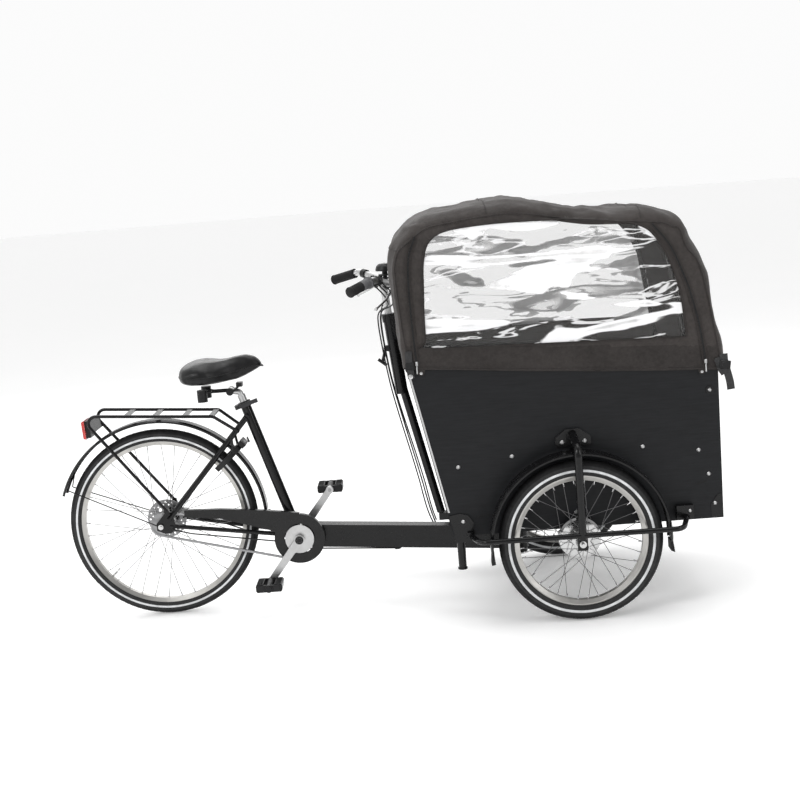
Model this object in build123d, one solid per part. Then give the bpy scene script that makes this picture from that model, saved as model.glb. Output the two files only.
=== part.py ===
from build123d import *
import math
import os

os.makedirs("parts", exist_ok=True)

# ---------------------------------------------------------------- driving dimensions (mm)
# Layout frame: X forward, Y to the rider's left, Z up, zero on the ground under the rear axle.
# Everything is moved by ORIGIN at the end, so that the written parts have their origin on the
# ground at the middle of the whole tricycle.
ORIGIN = (777.11, 0.0, 0.0)

REAR_R, REAR_W = 325.0, 47.0            # 26 inch rear tyre
FRONT_R, FRONT_W = 260.0, 56.0          # 20 inch front tyres
FRONT_X, FRONT_Y = 1385.0, 372.0        # front axle, half track
BB = (464.0, 244.0)                     # bottom bracket x, z
CRANK, CRANK_DEG = 170.0, 51.4          # crank length, left crank angle above forward
RING_T, COG_T, PITCH = 38, 19, 12.7     # chainring and sprocket teeth, chain pitch
CHAIN_Y = -45.0                         # chain line
SEAT_TOP = (311.0, 724.0)               # seat tube top x, z
PIVOT_X = 1215.0                        # steering pivot
BOX_Y, PLY = 310.0, 12.0                # cargo box half width, plywood thickness
BOX_BOT = 283.0
BOX_RB, BOX_FB, BOX_FT, BOX_RT = (985.0, 283.0), (1851.0, 283.0), (1851.0, 782.0), (871.0, 845.0)
CANOPY_Y, CLOTH = 316.0, 4.0
BAR_TURN = 7.8                          # handlebar turned in its stem, degrees
BAR = (816.0, 0.0, 1082.0)              # handlebar clamp centre
KNEE = (BOX_RT[0] - BOX_RB[0]) / (BOX_RT[1] - BOX_RB[1])   # slant of the rear edge, x per z


def rear_edge(z):
    return BOX_RB[0] + (z - BOX_RB[1]) * KNEE


# ---------------------------------------------------------------- helpers
def V3(p):
    return Vector(*p)


def rod(a, b, r, ri=0.0, r2=None):
    a, b = V3(a), V3(b)
    pl = Plane(origin=a, z_dir=(b - a).normalized())
    h = (b - a).length
    if r2 is None:
        s = extrude(pl * Circle(r), amount=h, dir=(b - a).normalized())
    else:
        s = pl * Cone(r, r2, h, align=(Align.CENTER, Align.CENTER, Align.MIN))
    if ri:
        s = s - extrude(pl * Circle(ri), amount=h, dir=(b - a).normalized())
    return s


def pipe(pts, radii, r, ri=0.0):
    pts = [V3(p) for p in pts]
    if len(pts) == 2:
        return rod(pts[0].to_tuple() if hasattr(pts[0], "to_tuple") else tuple(pts[0]), tuple(pts[1]), r, ri)
    path = FilletPolyline(*pts, radius=radii)
    pl = Plane(origin=pts[0], z_dir=(pts[1] - pts[0]).normalized())
    sec = pl * (Circle(r) - Circle(ri)) if ri else pl * Circle(r)
    return sweep(sec, path=path)


def slab(points, y0, y1):
    """A flat shape drawn in x, z, from y0 to y1."""
    lo, hi = min(y0, y1), max(y0, y1)
    w = Polyline(*[(x, lo, z) for x, z in points], close=True)
    return extrude(make_face(w), amount=hi - lo, dir=(0, 1, 0))


def brick(x0, x1, y0, y1, z0, z1):
    x0, x1 = min(x0, x1), max(x0, x1)
    y0, y1 = min(y0, y1), max(y0, y1)
    z0, z1 = min(z0, z1), max(z0, z1)
    return Pos((x0 + x1) / 2, (y0 + y1) / 2, (z0 + z1) / 2) * Box(x1 - x0, y1 - y0, z1 - z0)


def ring_y(x, z, r, y0, y1, ri=0.0):
    return rod((x, y0, z), (x, y1, z), r, ri)


def turned(x, z, prof, arc=360.0, start=0.0):
    """Profile points (y, radius) turned about the axle line through x, z. Angles go from +X up to +Z."""
    w = Polyline(*[(x + r, y, z) for y, r in prof], close=True)
    ax = Axis((x, 0, z), (0, -1, 0))
    s = revolve(make_face(w), axis=ax, revolution_arc=arc)
    if start:
        s = s.rotate(ax, start)
    return s


def out(name, *solids, move=None):
    got = []
    for s in solids:
        if s is None:
            continue
        got += list(s.solids())
    loc = Location((-ORIGIN[0], -ORIGIN[1], -ORIGIN[2]))
    got = [loc * g for g in got]
    shape = got[0] if len(got) == 1 else Compound(children=got)
    export_step(shape, f"parts/{name}.step")
    bb = shape.bounding_box()
    BOXES.append((bb.min, bb.max))
    print(f"{name:20s} solids {len(got):3d}  volume {sum(g.volume for g in got) / 1000:9.1f} cm3  "
          f"x {bb.min.X:7.1f} {bb.max.X:7.1f}  y {bb.min.Y:7.1f} {bb.max.Y:7.1f}  z {bb.min.Z:7.1f} {bb.max.Z:7.1f}")


BOXES = []


def pol(c, r, deg):
    a = math.radians(deg)
    return (c[0] + r * math.cos(a), c[1] + r * math.sin(a))


# ================================================================ wheels
def tyre(x, y, z, r_out, width, r_bead):
    """Tyre casing: a round section, hollow, open at the beads."""
    m = width / 2
    rc = r_out - m
    ax = Axis((x, 0, z), (0, -1, 0))
    outer = Plane(origin=(x + rc, y, z), z_dir=(0, 0, 1)) * Circle(m)
    inner = Plane(origin=(x + rc, y, z), z_dir=(0, 0, 1)) * Circle(m - 4)
    cut = brick(x + rc - m - 5, x + r_bead, y - m - 5, y + m + 5, z - 1, z + 1)
    sec = outer - inner
    sec = sec - Plane(origin=((x + rc - m - 5 + x + r_bead) / 2, y, z), z_dir=(0, 0, 1)) * Rectangle(r_bead - (rc - m - 5), width + 10)
    return revolve(sec.faces()[0], axis=ax, revolution_arc=360)


def rim(x, y, z, r_top, w, depth):
    h = w / 2
    prof = [(y - h, r_top), (y - h, r_top - 5), (y - h * .62, r_top - depth), (y + h * .62, r_top - depth), (y + h, r_top - 5),
            (y + h, r_top), (y + h - 2.5, r_top), (y + h - 2.5, r_top - 4.2), (y - h + 2.5, r_top - 4.2), (y - h + 2.5, r_top)]
    return turned(x, z, prof)


def spokes(x, y, z, flanges, r_rim, phase, cross_deg, r=1.0, n=36):
    """n crossed spokes. flanges holds (y offset, hole radius) for the -Y and the +Y side."""
    got = []
    for k in range(n):
        side = k % 2                       # 0: -Y flange, 1: +Y flange
        lead = (k // 2) % 2                # which way round the spoke leans
        a = phase + 360.0 / n * k
        fy, fr = flanges[side]
        s = 1 if side else -1
        lean = cross_deg[side] * (1 if lead else -1)
        off = 2.65 * s * (1 if lead else -1)
        p = pol((x, z), fr, a + lean)
        q = pol((x, z), r_rim, a)
        ry = s * (3.4 if lead else 0.8)
        got.append(rod((p[0], y + fy + off, p[1]), (q[0], y + ry, q[1]), r))
    return got


# rear wheel
rear_tyre = tyre(0, 0, REAR_R, REAR_R, REAR_W, 289.2)
rear_rim = rim(0, 0, REAR_R, 288.9, 29, 18)
REAR_PHASE = 42.0 - 5.0                    # a gap between spokes faces the ring lock
rs = spokes(0, 0, REAR_R, [(-30.0, 29.0), (30.0, 29.0)], 270.6, REAR_PHASE, (58, 58))
hub_prof = [(-36.6, 5.06), (-36.6, 17.9), (-34, 17.9), (-31.5, 33), (-28.5, 33), (-25, 18), (25, 18), (28.5, 33), (31.5, 33),
            (35, 20), (40, 20), (40, 24), (43, 24), (43, 16), (58, 12), (58, 5.06)]
rear_hub = turned(0, REAR_R, hub_prof)
disc = ring_y(0, REAR_R, 67.5, 43.05, 45.05, 16.5)
for k in range(16):
    p = pol((0, REAR_R), 58, k * 22.5)
    disc = disc - ring_y(p[0], p[1], 3.6, 42, 46)
    p = pol((0, REAR_R), 49, k * 22.5 + 11)
    disc = disc - ring_y(p[0], p[1], 3.0, 42, 46)
for k in range(6):
    p = pol((0, REAR_R), 34, k * 60)
    disc = disc - ring_y(p[0], p[1], 9.5, 42, 46)
out("rear_tyre", rear_tyre)
out("rear_rim", rear_rim)
out("rear_hub", rear_hub, disc, *rs)
out("rear_axle", ring_y(0, REAR_R, 5.0, -86, 86),
    *[rod((0, s * 73.7, REAR_R), (0, s * 82, REAR_R), 9.0, 5.02) for s in (-1, 1)],
    *[rod((0, s * 60.0, REAR_R), (0, s * 67.3, REAR_R), 8.0, 5.02) for s in (-1, 1)])

# sprocket on the freewheel
COG_R = PITCH / 2 / math.sin(math.pi / COG_T)
RING_R = PITCH / 2 / math.sin(math.pi / RING_T)


def toothed(c, teeth, pr, y0, y1, bore, phase=0.0):
    s = ring_y(c[0], c[1], pr + 3.2, y0, y1, bore)
    for k in range(teeth):
        p = pol(c, pr, phase + 360.0 / teeth * k)
        s = s - ring_y(p[0], p[1], 4.1, y0 - 1, y1 + 1)
    return s


# the driver turns on the axle and carries the sprocket
driver = turned(0, REAR_R, [(-58, 5.06), (-58, 15), (-50, 15), (-50, 17.95), (-37.4, 17.95), (-37.4, 5.06)])
out("rear_sprocket", driver, toothed((0, REAR_R), COG_T, COG_R, CHAIN_Y - 1.2, CHAIN_Y + 1.2, 18.0),
    ring_y(0, REAR_R, 24.0, -49.5, CHAIN_Y - 1.25, 18.0))

# front wheels
for s, name in ((-1, "right"), (1, "left")):
    y = s * FRONT_Y
    out(f"front_tyre_{name}", tyre(FRONT_X, y, FRONT_R, FRONT_R, FRONT_W, 212.2))
    out(f"front_rim_{name}", rim(FRONT_X, y, FRONT_R, 211.9, 32, 17))
    # hub: brake drum on the inner side, small flange on the outer side
    inn = -s
    prof = [(y + inn * 35.5, 67.5), (y + inn * 20.5, 67.5), (y + inn * 17.5, 60), (y + inn * 17.5, 24), (y - inn * 14, 20), (y - inn * 18.0, 30),
            (y - inn * 21.0, 30), (y - inn * 24, 20), (y - inn * 36, 16), (y - inn * 36, 6.06), (y + inn * 22, 6.06), (y + inn * 22, 63), (y + inn * 35.5, 63)]
    hub = turned(FRONT_X, FRONT_R, prof)
    fl = {-s: (inn * 21.9, 61.0), s: (-inn * 19.5, 26.5)}
    got = []
    n = 36
    for k in range(n):
        side = -1 if k % 2 == 0 else 1
        lead = (k // 2) % 2
        a = 4.0 + 10.0 * k
        fy, fr = fl[side]
        if side == -s:                     # drum side: all spokes leave the drum's rim
            fr_k, lean, yy = 69.0, (38 if lead else -38), fy + inn * (1.5 if lead else 7.0)
            ry = inn * (0.8 if lead else 4.4)
        else:
            fr_k, lean, yy = fr, (58 if lead else -58), fy - inn * (2.65 if lead else -2.65)
            ry = -inn * (4.4 if lead else 0.8)
        p = pol((FRONT_X, FRONT_R), fr_k, a + lean)
        q = pol((FRONT_X, FRONT_R), 194.6, a)
        got.append(rod((p[0], y + yy, p[1]), (q[0], y + ry, q[1]), 1.0))
    out(f"front_hub_{name}", hub, *got)

# fixed brake plates and axles of the front hubs
plates = []
for s in (-1, 1):
    i0 = s * (FRONT_Y - 40.5)
    plates.append(ring_y(FRONT_X, FRONT_R, 62.0, s * 332.0, s * 336.0, 6.02) +
                  slab([(FRONT_X - 12, FRONT_R - 60), (FRONT_X - 70, FRONT_R + 16), (FRONT_X - 62, FRONT_R + 26), (FRONT_X + 4, FRONT_R - 52)], s * 329.5, s * 333.0))
    plates.append(ring_y(FRONT_X, FRONT_R, 6.0, s * 312.0, s * 446.0))
    plates.append(ring_y(FRONT_X, FRONT_R, 10.5, s * 326.1, s * 329.4, 6.02))
    plates.append(ring_y(FRONT_X, FRONT_R, 9.5, s * 409.0, s * 414.9, 6.02))
    plates.append(ring_y(FRONT_X, FRONT_R, 11.0, s * 424.1, s * 433.0, 6.02))
out("front_brake_plates", *plates)

# ================================================================ drive
right = pol(BB, CRANK, CRANK_DEG + 180)
left = pol(BB, CRANK, CRANK_DEG)
out("bb_cups", ring_y(BB[0], BB[1], 17.1, -37, 37, 8.56))


def crank_arm(tip, s):
    dx, dz = (tip[0] - BB[0]) / CRANK, (tip[1] - BB[1]) / CRANK
    nx, nz = -dz, dx
    w0, w1 = 14.0, 11.0
    pts = []
    y0, y1, y2, y3 = s * 60.0, s * 74.0, s * 70.0, s * 84.0
    a = Polyline((BB[0] + nx * w0, y0, BB[1] + nz * w0), (BB[0] - nx * w0, y0, BB[1] - nz * w0),
                 (BB[0] - nx * w0, y1, BB[1] - nz * w0), (BB[0] + nx * w0, y1, BB[1] + nz * w0), close=True)
    t = (tip[0], tip[1])
    b = Polyline((t[0] + nx * w1, y2, t[1] + nz * w1), (t[0] - nx * w1, y2, t[1] - nz * w1),
                 (t[0] - nx * w1, y3, t[1] - nz * w1), (t[0] + nx * w1, y3, t[1] + nz * w1), close=True)
    arm = Solid.make_loft([a.wire() if hasattr(a, "wire") else a, b.wire() if hasattr(b, "wire") else b], True)
    arm = arm + ring_y(BB[0], BB[1], 17.0, s * 56.0, s * 76.0) + ring_y(tip[0], tip[1], 13.0, s * 70.0, s * 84.0)
    return arm


cr = crank_arm(right, -1)
cr = cr + ring_y(BB[0], BB[1], 49.0, -59.5, -56.0) + ring_y(BB[0], BB[1], 20.0, -58.0, -46.3)
cr = cr - ring_y(BB[0], BB[1], 8.55, -90, 0) - ring_y(right[0], right[1], 6.02, -90, -60)
cl = crank_arm(left, 1) - ring_y(BB[0], BB[1], 8.55, 0, 90) - ring_y(left[0], left[1], 6.02, 60, 90)
out("crank_right", cr)
out("crank_left", cl)
ring = toothed(BB, RING_T, RING_R, CHAIN_Y - 1.2, CHAIN_Y + 1.2, 8.55, 3.0)
for k in range(5):
    p = pol(BB, 45, 72 * k + 20)
    ring = ring - ring_y(p[0], p[1], 15.5, CHAIN_Y - 3, CHAIN_Y + 3)
out("chainring", ring)
out("crank_spindles", ring_y(BB[0], BB[1], 8.5, -79.0, 79.0),
    ring_y(right[0], right[1], 6.0, -178.0, -68.0), ring_y(left[0], left[1], 6.0, 68.0, 178.0))

for tip, s, name in ((right, -1, "right"), (left, 1, "left")):
    x, z = tip
    p = ring_y(x, z, 12.5, s * 86.0, s * 174.0)
    for e0, e1 in ((86.0, 93.0), (167.0, 174.0)):
        p = p + slab([(x - 40, z - 7), (x - 34, z - 12), (x + 34, z - 12), (x + 40, z - 7), (x + 40, z + 7), (x + 34, z + 12), (x - 34, z + 12), (x - 40, z + 7)], s * e0, s * e1)
    for d in (-1, 1):
        p = p + slab([(x + d * 19, z - 14), (x + d * 40, z - 14), (x + d * 44, z - 8), (x + d * 44, z + 8), (x + d * 40, z + 14), (x + d * 19, z + 14)], s * 92.0, s * 168.0)
    p = p - ring_y(x, z, 6.06, s * 80.0, s * 178.5)
    p = p + ring_y(x, z, 9.0, s * 179.0, s * 182.0) + ring_y(x, z, 12.5, s * 174.0, s * 180.0, 6.6)
    out(f"pedal_{name}", p)

# chain: the outer plates as two closed bands either side of the teeth
hull_o = make_hull(Edge.make_circle(COG_R + 4.25, Plane(origin=(0, 0, REAR_R), z_dir=(0, -1, 0))).edges()
                   + Edge.make_circle(RING_R + 4.25, Plane(origin=(BB[0], 0, BB[1]), z_dir=(0, -1, 0))).edges()) if False else None


def belt(c1, r1, c2, r2, y0, y1):
    """Closed region round two circles, from y0 to y1."""
    d = math.hypot(c2[0] - c1[0], c2[1] - c1[1])
    base = math.atan2(c2[1] - c1[1], c2[0] - c1[0])
    th = math.acos((r1 - r2) / d)
    pts = []
    up, dn = base + th, base - th
    p1, p2 = (c1[0] + r1 * math.cos(up), c1[1] + r1 * math.sin(up)), (c2[0] + r2 * math.cos(up), c2[1] + r2 * math.sin(up))
    q1, q2 = (c1[0] + r1 * math.cos(dn), c1[1] + r1 * math.sin(dn)), (c2[0] + r2 * math.cos(dn), c2[1] + r2 * math.sin(dn))
    m1 = (c1[0] - r1 * math.cos(base), c1[1] - r1 * math.sin(base))
    m2 = (c2[0] + r2 * math.cos(base), c2[1] + r2 * math.sin(base))
    e = [Edge.make_line((p1[0], y0, p1[1]), (p2[0], y0, p2[1])),
         Edge.make_three_point_arc((p2[0], y0, p2[1]), (m2[0], y0, m2[1]), (q2[0], y0, q2[1])),
         Edge.make_line((q2[0], y0, q2[1]), (q1[0], y0, q1[1])),
         Edge.make_three_point_arc((q1[0], y0, q1[1]), (m1[0], y0, m1[1]), (p1[0], y0, p1[1]))]
    f = Face(Wire(e))
    return extrude(f, amount=y1 - y0, dir=(0, 1, 0))


bands = []
for a, b in ((CHAIN_Y - 4.4, CHAIN_Y - 3.2), (CHAIN_Y + 3.2, CHAIN_Y + 4.4)):
    bands.append(belt((0, REAR_R), COG_R + 4.2, BB, RING_R + 4.2, a, b) - belt((0, REAR_R), COG_R - 4.2, BB, RING_R - 4.2, a - 1, b + 1))
out("chain", *bands)

# chain guard: long cover over the upper run, round cover over the chainring
G_OUT = [(80, 371), (203, 367), (345, 352), (424, 341), (470, 334), (470, 244), (400, 262), (359, 284), (200, 333), (78, 347)]
gp = slab(G_OUT, -54.0, -52.0) + ring_y(BB[0], BB[1], 86.0, -54.0, -52.0)
gp = gp - ring_y(BB[0], BB[1], 52.0, -60, -45)
top = slab([(82, 371), (203, 367), (345, 352), (424, 341), (470, 334), (470, 332), (424, 339), (345, 350), (203, 365), (82, 369)], -53.0, -37.0)
wall = ring_y(BB[0], BB[1], 86.0, -53.0, -37.0, 84.0) - brick(300, 470, -60, -30, 100, 345) - brick(300, BB[0] + 10, -60, -30, 100, 260)
out("chain_guard", gp + top + wall + brick(395, 403, -52.5, -36, 341, 343.5))

# ================================================================ main frame
tz = Vector(SEAT_TOP[0] - 456, 0, SEAT_TOP[1] - 250).normalized()          # up the seat tube
tf = Vector(tz.Z, 0, -tz.X)                                                # forward, square to it
top_v = Vector(SEAT_TOP[0], 0, SEAT_TOP[1])


def on_post(a, f=0.0, y=0.0):
    p = top_v + tz * a + tf * f
    return (p.X, y, p.Z)


def beam_top(x):
    return 281.0 - (x - 544.0) * 0.0823


fr = rod(on_post(-488), on_post(0), 17.5)
fr = fr + slab([(470, beam_top(470) - 2), (PIVOT_X, beam_top(PIVOT_X)), (PIVOT_X, beam_top(PIVOT_X) - 80), (470, beam_top(470) - 80)], -25, 25)
fr = fr - slab([(500, beam_top(500) - 3), (PIVOT_X - 34, beam_top(PIVOT_X - 34) - 3), (PIVOT_X - 34, beam_top(PIVOT_X - 34) - 77), (500, beam_top(500) - 77)], -22, 22)
fr = fr - rod((520, 0, 150), (520, 0, 240), 5) - rod((1150, 0, 120), (1150, 0, 200), 5)
fr = fr + rod((PIVOT_X, 0, 147), (PIVOT_X, 0, 255), 30)
fr = fr + ring_y(BB[0], BB[1], 21.5, -34, 34)
STAY_TOP_Y = 33.0
for s in (-1, 1):
    fr = fr + rod((446, s * 24, 250), (30, s * 69, 325), 7.5)
    fr = fr + rod((318, s * STAY_TOP_Y, 672), (29, s * 69, 348), 9.5)
    fr = fr + slab([(-15, 312), (-15, 336), (14, 368), (40, 372), (46, 352), (50, 318), (34, 300), (12, 300)], s * 67.5, s * 73.5)
fr = fr + ring_y(318, 672, 10.5, -34, 34)
fr = fr + ring_y(367, 264.5, 5.5, -34, 34)
fr = fr - ring_y(0, REAR_R, 5.03, -100, 100) - rod((PIVOT_X, 0, 120), (PIVOT_X, 0, 300), 20.06)
fr = fr - rod(on_post(-260), on_post(5), 13.66) - ring_y(BB[0], BB[1], 17.15, -40, 40)
out("main_frame", fr)

# seat clamp with its bolt, eye and pin, and the lever on that pin
e = -27.0
cyl = rod(on_post(-19), on_post(-1), 22.0)
ear = Plane(origin=on_post(-10, e + 4), x_dir=tf, z_dir=tz) * Box(20, 20, 14)
clamp = cyl + ear - rod(on_post(-30), on_post(10), 17.55)
clamp = clamp - Plane(origin=on_post(-10, -26), x_dir=tf, z_dir=tz) * Box(26, 2.0, 30)
clamp = clamp - rod(on_post(-10, e, -40), on_post(-10, e, 40), 3.05)
cbolt = rod(on_post(-10, e, -20.0), on_post(-10, e, 14.0), 3.0) + rod(on_post(-10, e, 10.05), on_post(-10, e, 15.5), 6.0)
cbolt = cbolt + Plane(origin=on_post(-10, e, -24), x_dir=tf, z_dir=tz) * Box(9, 10, 6)
cbolt = cbolt + rod(on_post(-17.2, e, -24), on_post(-2.8, e, -24), 2.4)
out("seat_clamp", clamp, cbolt)
lv = None
for a0, a1 in ((-17.0, -13.3), (-6.7, -3.0)):
    d = rod(on_post(a0, e, -24), on_post(a1, e, -24), 6.5)
    lv = d if lv is None else lv + d
lv = lv + Plane(origin=on_post(-10, e + 42, -28.2), x_dir=tf, z_dir=tz) * Box(68, 4.0, 14)
for a0, a1 in ((-17.0, -13.3), (-6.7, -3.0)):
    lv = lv + Plane(origin=on_post((a0 + a1) / 2, e + 6, -28.2), x_dir=tf, z_dir=tz) * Box(16, 4.0, 3.7)
lv = lv - rod(on_post(-20, e, -24), on_post(0, e, -24), 2.46)
lv = lv - rod(on_post(-13.3, e, -24), on_post(-6.7, e, -24), 7.2)
out("seat_clamp_lever", lv)

# seat post with its laid-back head
K = (270.0, 0.0, 762.0)                                                     # saddle tilt axis
sp = rod(on_post(-180), on_post(24), 13.6)
sp = sp + pipe([on_post(12), on_post(34), (K[0] + 6, 0, K[2] - 2)], [9], 10.0) + ring_y(K[0], K[2], 12.0, -13.5, 13.5)
sp = sp - ring_y(K[0], K[2], 4.05, -20, 20)
out("seatpost", sp)

# saddle: rails, base and bumpers turn on the head; cover is the padded top
sb = ring_y(K[0], K[2], 4.0, -27, 27)
for s in (-1, 1):
    sb = sb + ring_y(K[0], K[2], 12.5, s * 14.0, s * 26.0)
    sb = sb + pipe([(K[0] - 92, s * 34, K[2] + 8), (K[0] - 60, s * 20, K[2] + 3), (K[0] + 15, s * 20, K[2] + 3), (K[0] + 34, s * 14, K[2] + 20)], [12, 10], 3.6)
plate = slab([(160, 773), (282, 766), (296, 776), (296, 782), (160, 785)], -40, 40)
sbp = []
for s in (-1, 1):
    sbp.append(rod((K[0] - 90, s * 46, 738), (K[0] - 90, s * 46, 778), 17.0))
base = brick(K[0] - 100, K[0] - 82, -46, 46, 758, 768)
nose_block = brick(K[0] + 22, K[0] + 42, -16, 16, 776, 790)
out("saddle_base", sb + base + sbp[0] + sbp[1] + nose_block)

SAD = [(106, 822), (110, 845), (126, 862), (156, 872), (193, 875), (237, 873), (290, 880), (335, 884), (362, 876), (382, 856), (386, 838),
       (362, 826), (340, 812), (318, 790), (294, 794), (240, 786), (190, 784), (150, 786), (124, 794), (110, 806)]
side = slab(SAD, -118, 118)
plan = [(104, 0), (108, 50), (124, 88), (152, 110), (186, 114), (222, 102), (258, 74), (300, 42), (340, 31), (372, 24), (388, 0)]
plan_pts = [(x, y, 740) for x, y in plan] + [(x, -y, 740) for x, y in reversed(plan[1:-1])]
saddle = side & extrude(make_face(Polyline(*plan_pts, close=True)), amount=160, dir=(0, 0, 1))
saddle = saddle - brick(K[0] - 112, K[0] - 68, -66, 66, 700, 795) - brick(K[0] + 12, K[0] + 50, -22, 22, 700, 793)
out("saddle_cover", saddle)

# ================================================================ rear rack, fender, light, lock, brake
rails = []
for s in (-1, 1):
    rails.append(pipe([(292, s * 52, 628), (213, s * 70, 690), (-234, s * 70, 723), (26, s * 80.0, 380)], [24, 24], 5.5))
rack = rails
BARS_X = (-80.0, 16.0, 116.0, 206.0)


def rail_z(x):
    return 690.0 + (213.0 - x) * 33.0 / 447.0


SL = math.degrees(math.atan2(33.0, 447.0))
bars = []
for x in BARS_X:
    b = Pos(x, 0, rail_z(x)) * (Rot(0, SL, 0) * Box(18, 140, 5))
    bars.append(b)
rr = rails[0] + rails[1]
for b in bars:
    rr = rr + b
rr = rr + slab([(-213, 700), (-207, 702), (-192, 664), (-198, 661)], -70, 70)
for s in (-1, 1):
    rr = rr + slab([(17, 357), (37, 366), (32, 388), (18, 386)], s * 73.6, s * 84.0)
out("rear_rack", rr)
L_HOUSE = slab([(-212.5, 642), (-228, 640), (-231, 698), (-212.5, 702)], -34, 34)
L_LENS = slab([(-228.2, 637), (-238, 640), (-241, 697), (-231.2, 702)], -38, 38)
out("tail_light", L_HOUSE - slab([(-213, 661), (-197, 661), (-207, 702), (-214, 703)], -80, 80), L_LENS)

FEN = [(-26, 349), (-26, 355), (-19, 359), (19, 359), (26, 355), (26, 349), (24.6, 349), (24.6, 354.2), (18.4, 357.6), (-18.4, 357.6), (-24.6, 354.2), (-24.6, 349)]
fend = turned(0, REAR_R, FEN, arc=157.0, start=3.2)
fst = []
for s in (-1, 1):
    p = pol((0, REAR_R), 351.0, 156)
    q = pol((0, REAR_R), 351.0, 149)
    fst.append(pipe([(-13, s * 76.5, 330), (p[0] + 8, s * 29.5, p[1] - 4), (q[0], s * 28.3, q[1])], [4], 2.0))
    c1 = pol((0, REAR_R), 357.5, 57.2)
out("rear_fender", fend, *fst,
    brick(361.0 - 6, 366.0, -12, 12, 271.5, 340) & turned(0, REAR_R, [(-12, 357.0 + 2.1), (-12, 368), (12, 368), (12, 359.1)], arc=20, start=-14))

LOCK_DEG, LOCK_C, LOCK_R = 41.0, 318.0, 59.5
lc = pol((0, REAR_R), LOCK_C, LOCK_DEG)
rad_v = Vector(math.cos(math.radians(LOCK_DEG)), 0, math.sin(math.radians(LOCK_DEG)))
tan_v = Vector(-rad_v.Z, 0, rad_v.X)
LC = Vector(lc[0], 0, lc[1])


def lock_pt(ang, r, t=0.0):
    """Angle from the outward radius towards +Y, in the lock's own plane."""
    a = math.radians(ang)
    return LC + rad_v * (r * math.cos(a)) + Vector(0, 1, 0) * (r * math.sin(a)) + tan_v * t


lock_axis = Axis(LC, tan_v)


def sweep_ring(face, start, arc):
    """Turned about the lock's axis from angle start, over arc degrees, towards +Y."""
    f = face
    s = revolve(f, axis=lock_axis, revolution_arc=arc)
    return s.rotate(lock_axis, start)


# the axis direction that turns the outward radius towards +Y
test = (Vector(0, 1, 0) - Vector(0, 0, 0))
sgn = 1 if tan_v.cross(rad_v).dot(Vector(0, 1, 0)) > 0 else -1
lock_axis = Axis(LC, tan_v * sgn)
sec_pl = Plane(origin=LC + rad_v * LOCK_R, x_dir=rad_v, z_dir=Vector(0, 1, 0))
MOUTH = 84.0
body_f = (sec_pl * Rectangle(15, 18)).faces()[0]
body = sweep_ring(body_f, MOUTH / 2 + 180, 360 - MOUTH)
chan = sweep_ring((sec_pl * Circle(4.65)).faces()[0], -30, 359.9)
body = body + Plane(origin=LC + rad_v * 72, x_dir=rad_v, z_dir=tan_v) * Box(16, 74, 24)
body = body - chan
BRK = []
for s in (-1, 1):
    st = Vector(29, s * 69, 348) + (Vector(318, s * STAY_TOP_Y, 672) - Vector(29, s * 69, 348)) * 0.80
    a = LC + rad_v * 38 + Vector(0, s * 60.0, 0) + tan_v * 0
    BRK.append(rod(tuple(a), (st.X + 3, st.Y + s * 6, st.Z - 3), 4.5))
frame_cutter = [rod((318, s * STAY_TOP_Y, 672), (29, s * 69, 348), 9.55) for s in (-1, 1)]
lb = body
for b in BRK:
    lb = lb + b
for c in frame_cutter:
    lb = lb - c
lb = lb - chan
out("ring_lock_body", *lb.solids())
bolt = sweep_ring((sec_pl * Circle(4.5)).faces()[0], 180 - MOUTH / 2 - 97.0, 96.0)
out("ring_lock_bolt", bolt)

cal = brick(45, 73, 34.5, 58, 334, 357) - brick(30, 90, 41.5, 46.6, 320, 370)
out("rear_brake_caliper", cal + brick(42, 54, 56, 67.2, 334, 342))

# cables held under the beam and along the stays
C1 = [(806, -9, 173.5), (540, -13, 193.0), (468, -20, 200), (430, -27, 226), (100, -66, 292), (40, -81, 314)]
C2 = [(806, 9, 173.5), (540, 13, 193.0), (468, 20, 200), (430, 27, 226), (262, 38, 268), (200, 37, 294), (74.5, 50, 343)]
cab = []
for c, rad in ((C1, [200, 60, 80, 60]), (C2, [200, 60, 80, 200, 200])):
    t = pipe(c, rad, 2.4)
    cab.append(t)
clip = brick(782, 802, -16, 16, 166, 171.0) + brick(782, 802, -16, -13, 166, 177.5) + brick(782, 802, 13, 16, 166, 177.5)
clip2 = brick(560, 574, -20, 20, 181.5, 186.0)
out("frame_cables", *cab, brick(784, 800, -4, 4, 168, 177.8))

# ================================================================ cargo chassis
ch = None


def add(a, b):
    return b if a is None else a + b


for s in (-1, 1):
    ch = add(ch, brick(1000, 1836, s * 270, s * 295, 288, 315))
for x0, x1 in ((1000, 1025), (1202, 1228), (1370, 1400), (1811, 1836)):
    ch = ch + brick(x0, x1, -271, 271, 288, 315)
piv = brick(1125, 1305, -60, 60, 256.5, 289) - brick(1100, 1330, -54, 54, 263, 283)
ch = ch + piv
ch = ch + rod((PIVOT_X, 0, 138), (PIVOT_X, 0, 262), 20.0) + rod((PIVOT_X, 0, 132), (PIVOT_X, 0, 145.5), 26.0)
ch = ch + brick(1370, 1400, -326, 326, 252, 280)
for s in (-1, 1):
    ch = ch + brick(1370, 1400, s * 270, s * 295, 279, 289)
    ch = ch + slab([(1356, 236), (1414, 236), (1414, 282), (1356, 282)], s * 318, s * 326)
    ch = ch + rod((1008, s * 282, 166), (1008, s * 282, 289), 12.5, r2=14.5) + rod((1008, s * 282, 166), (1008, s * 282, 171), 15.5)
ch = ch + brick(944, 1004, -18, 18, 264, 288.4) + brick(998, 1020, -18, 18, 264, 300)
ch = ch - ring_y(FRONT_X, FRONT_R, 6.03, -400, 400)
out("chassis", ch)

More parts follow.
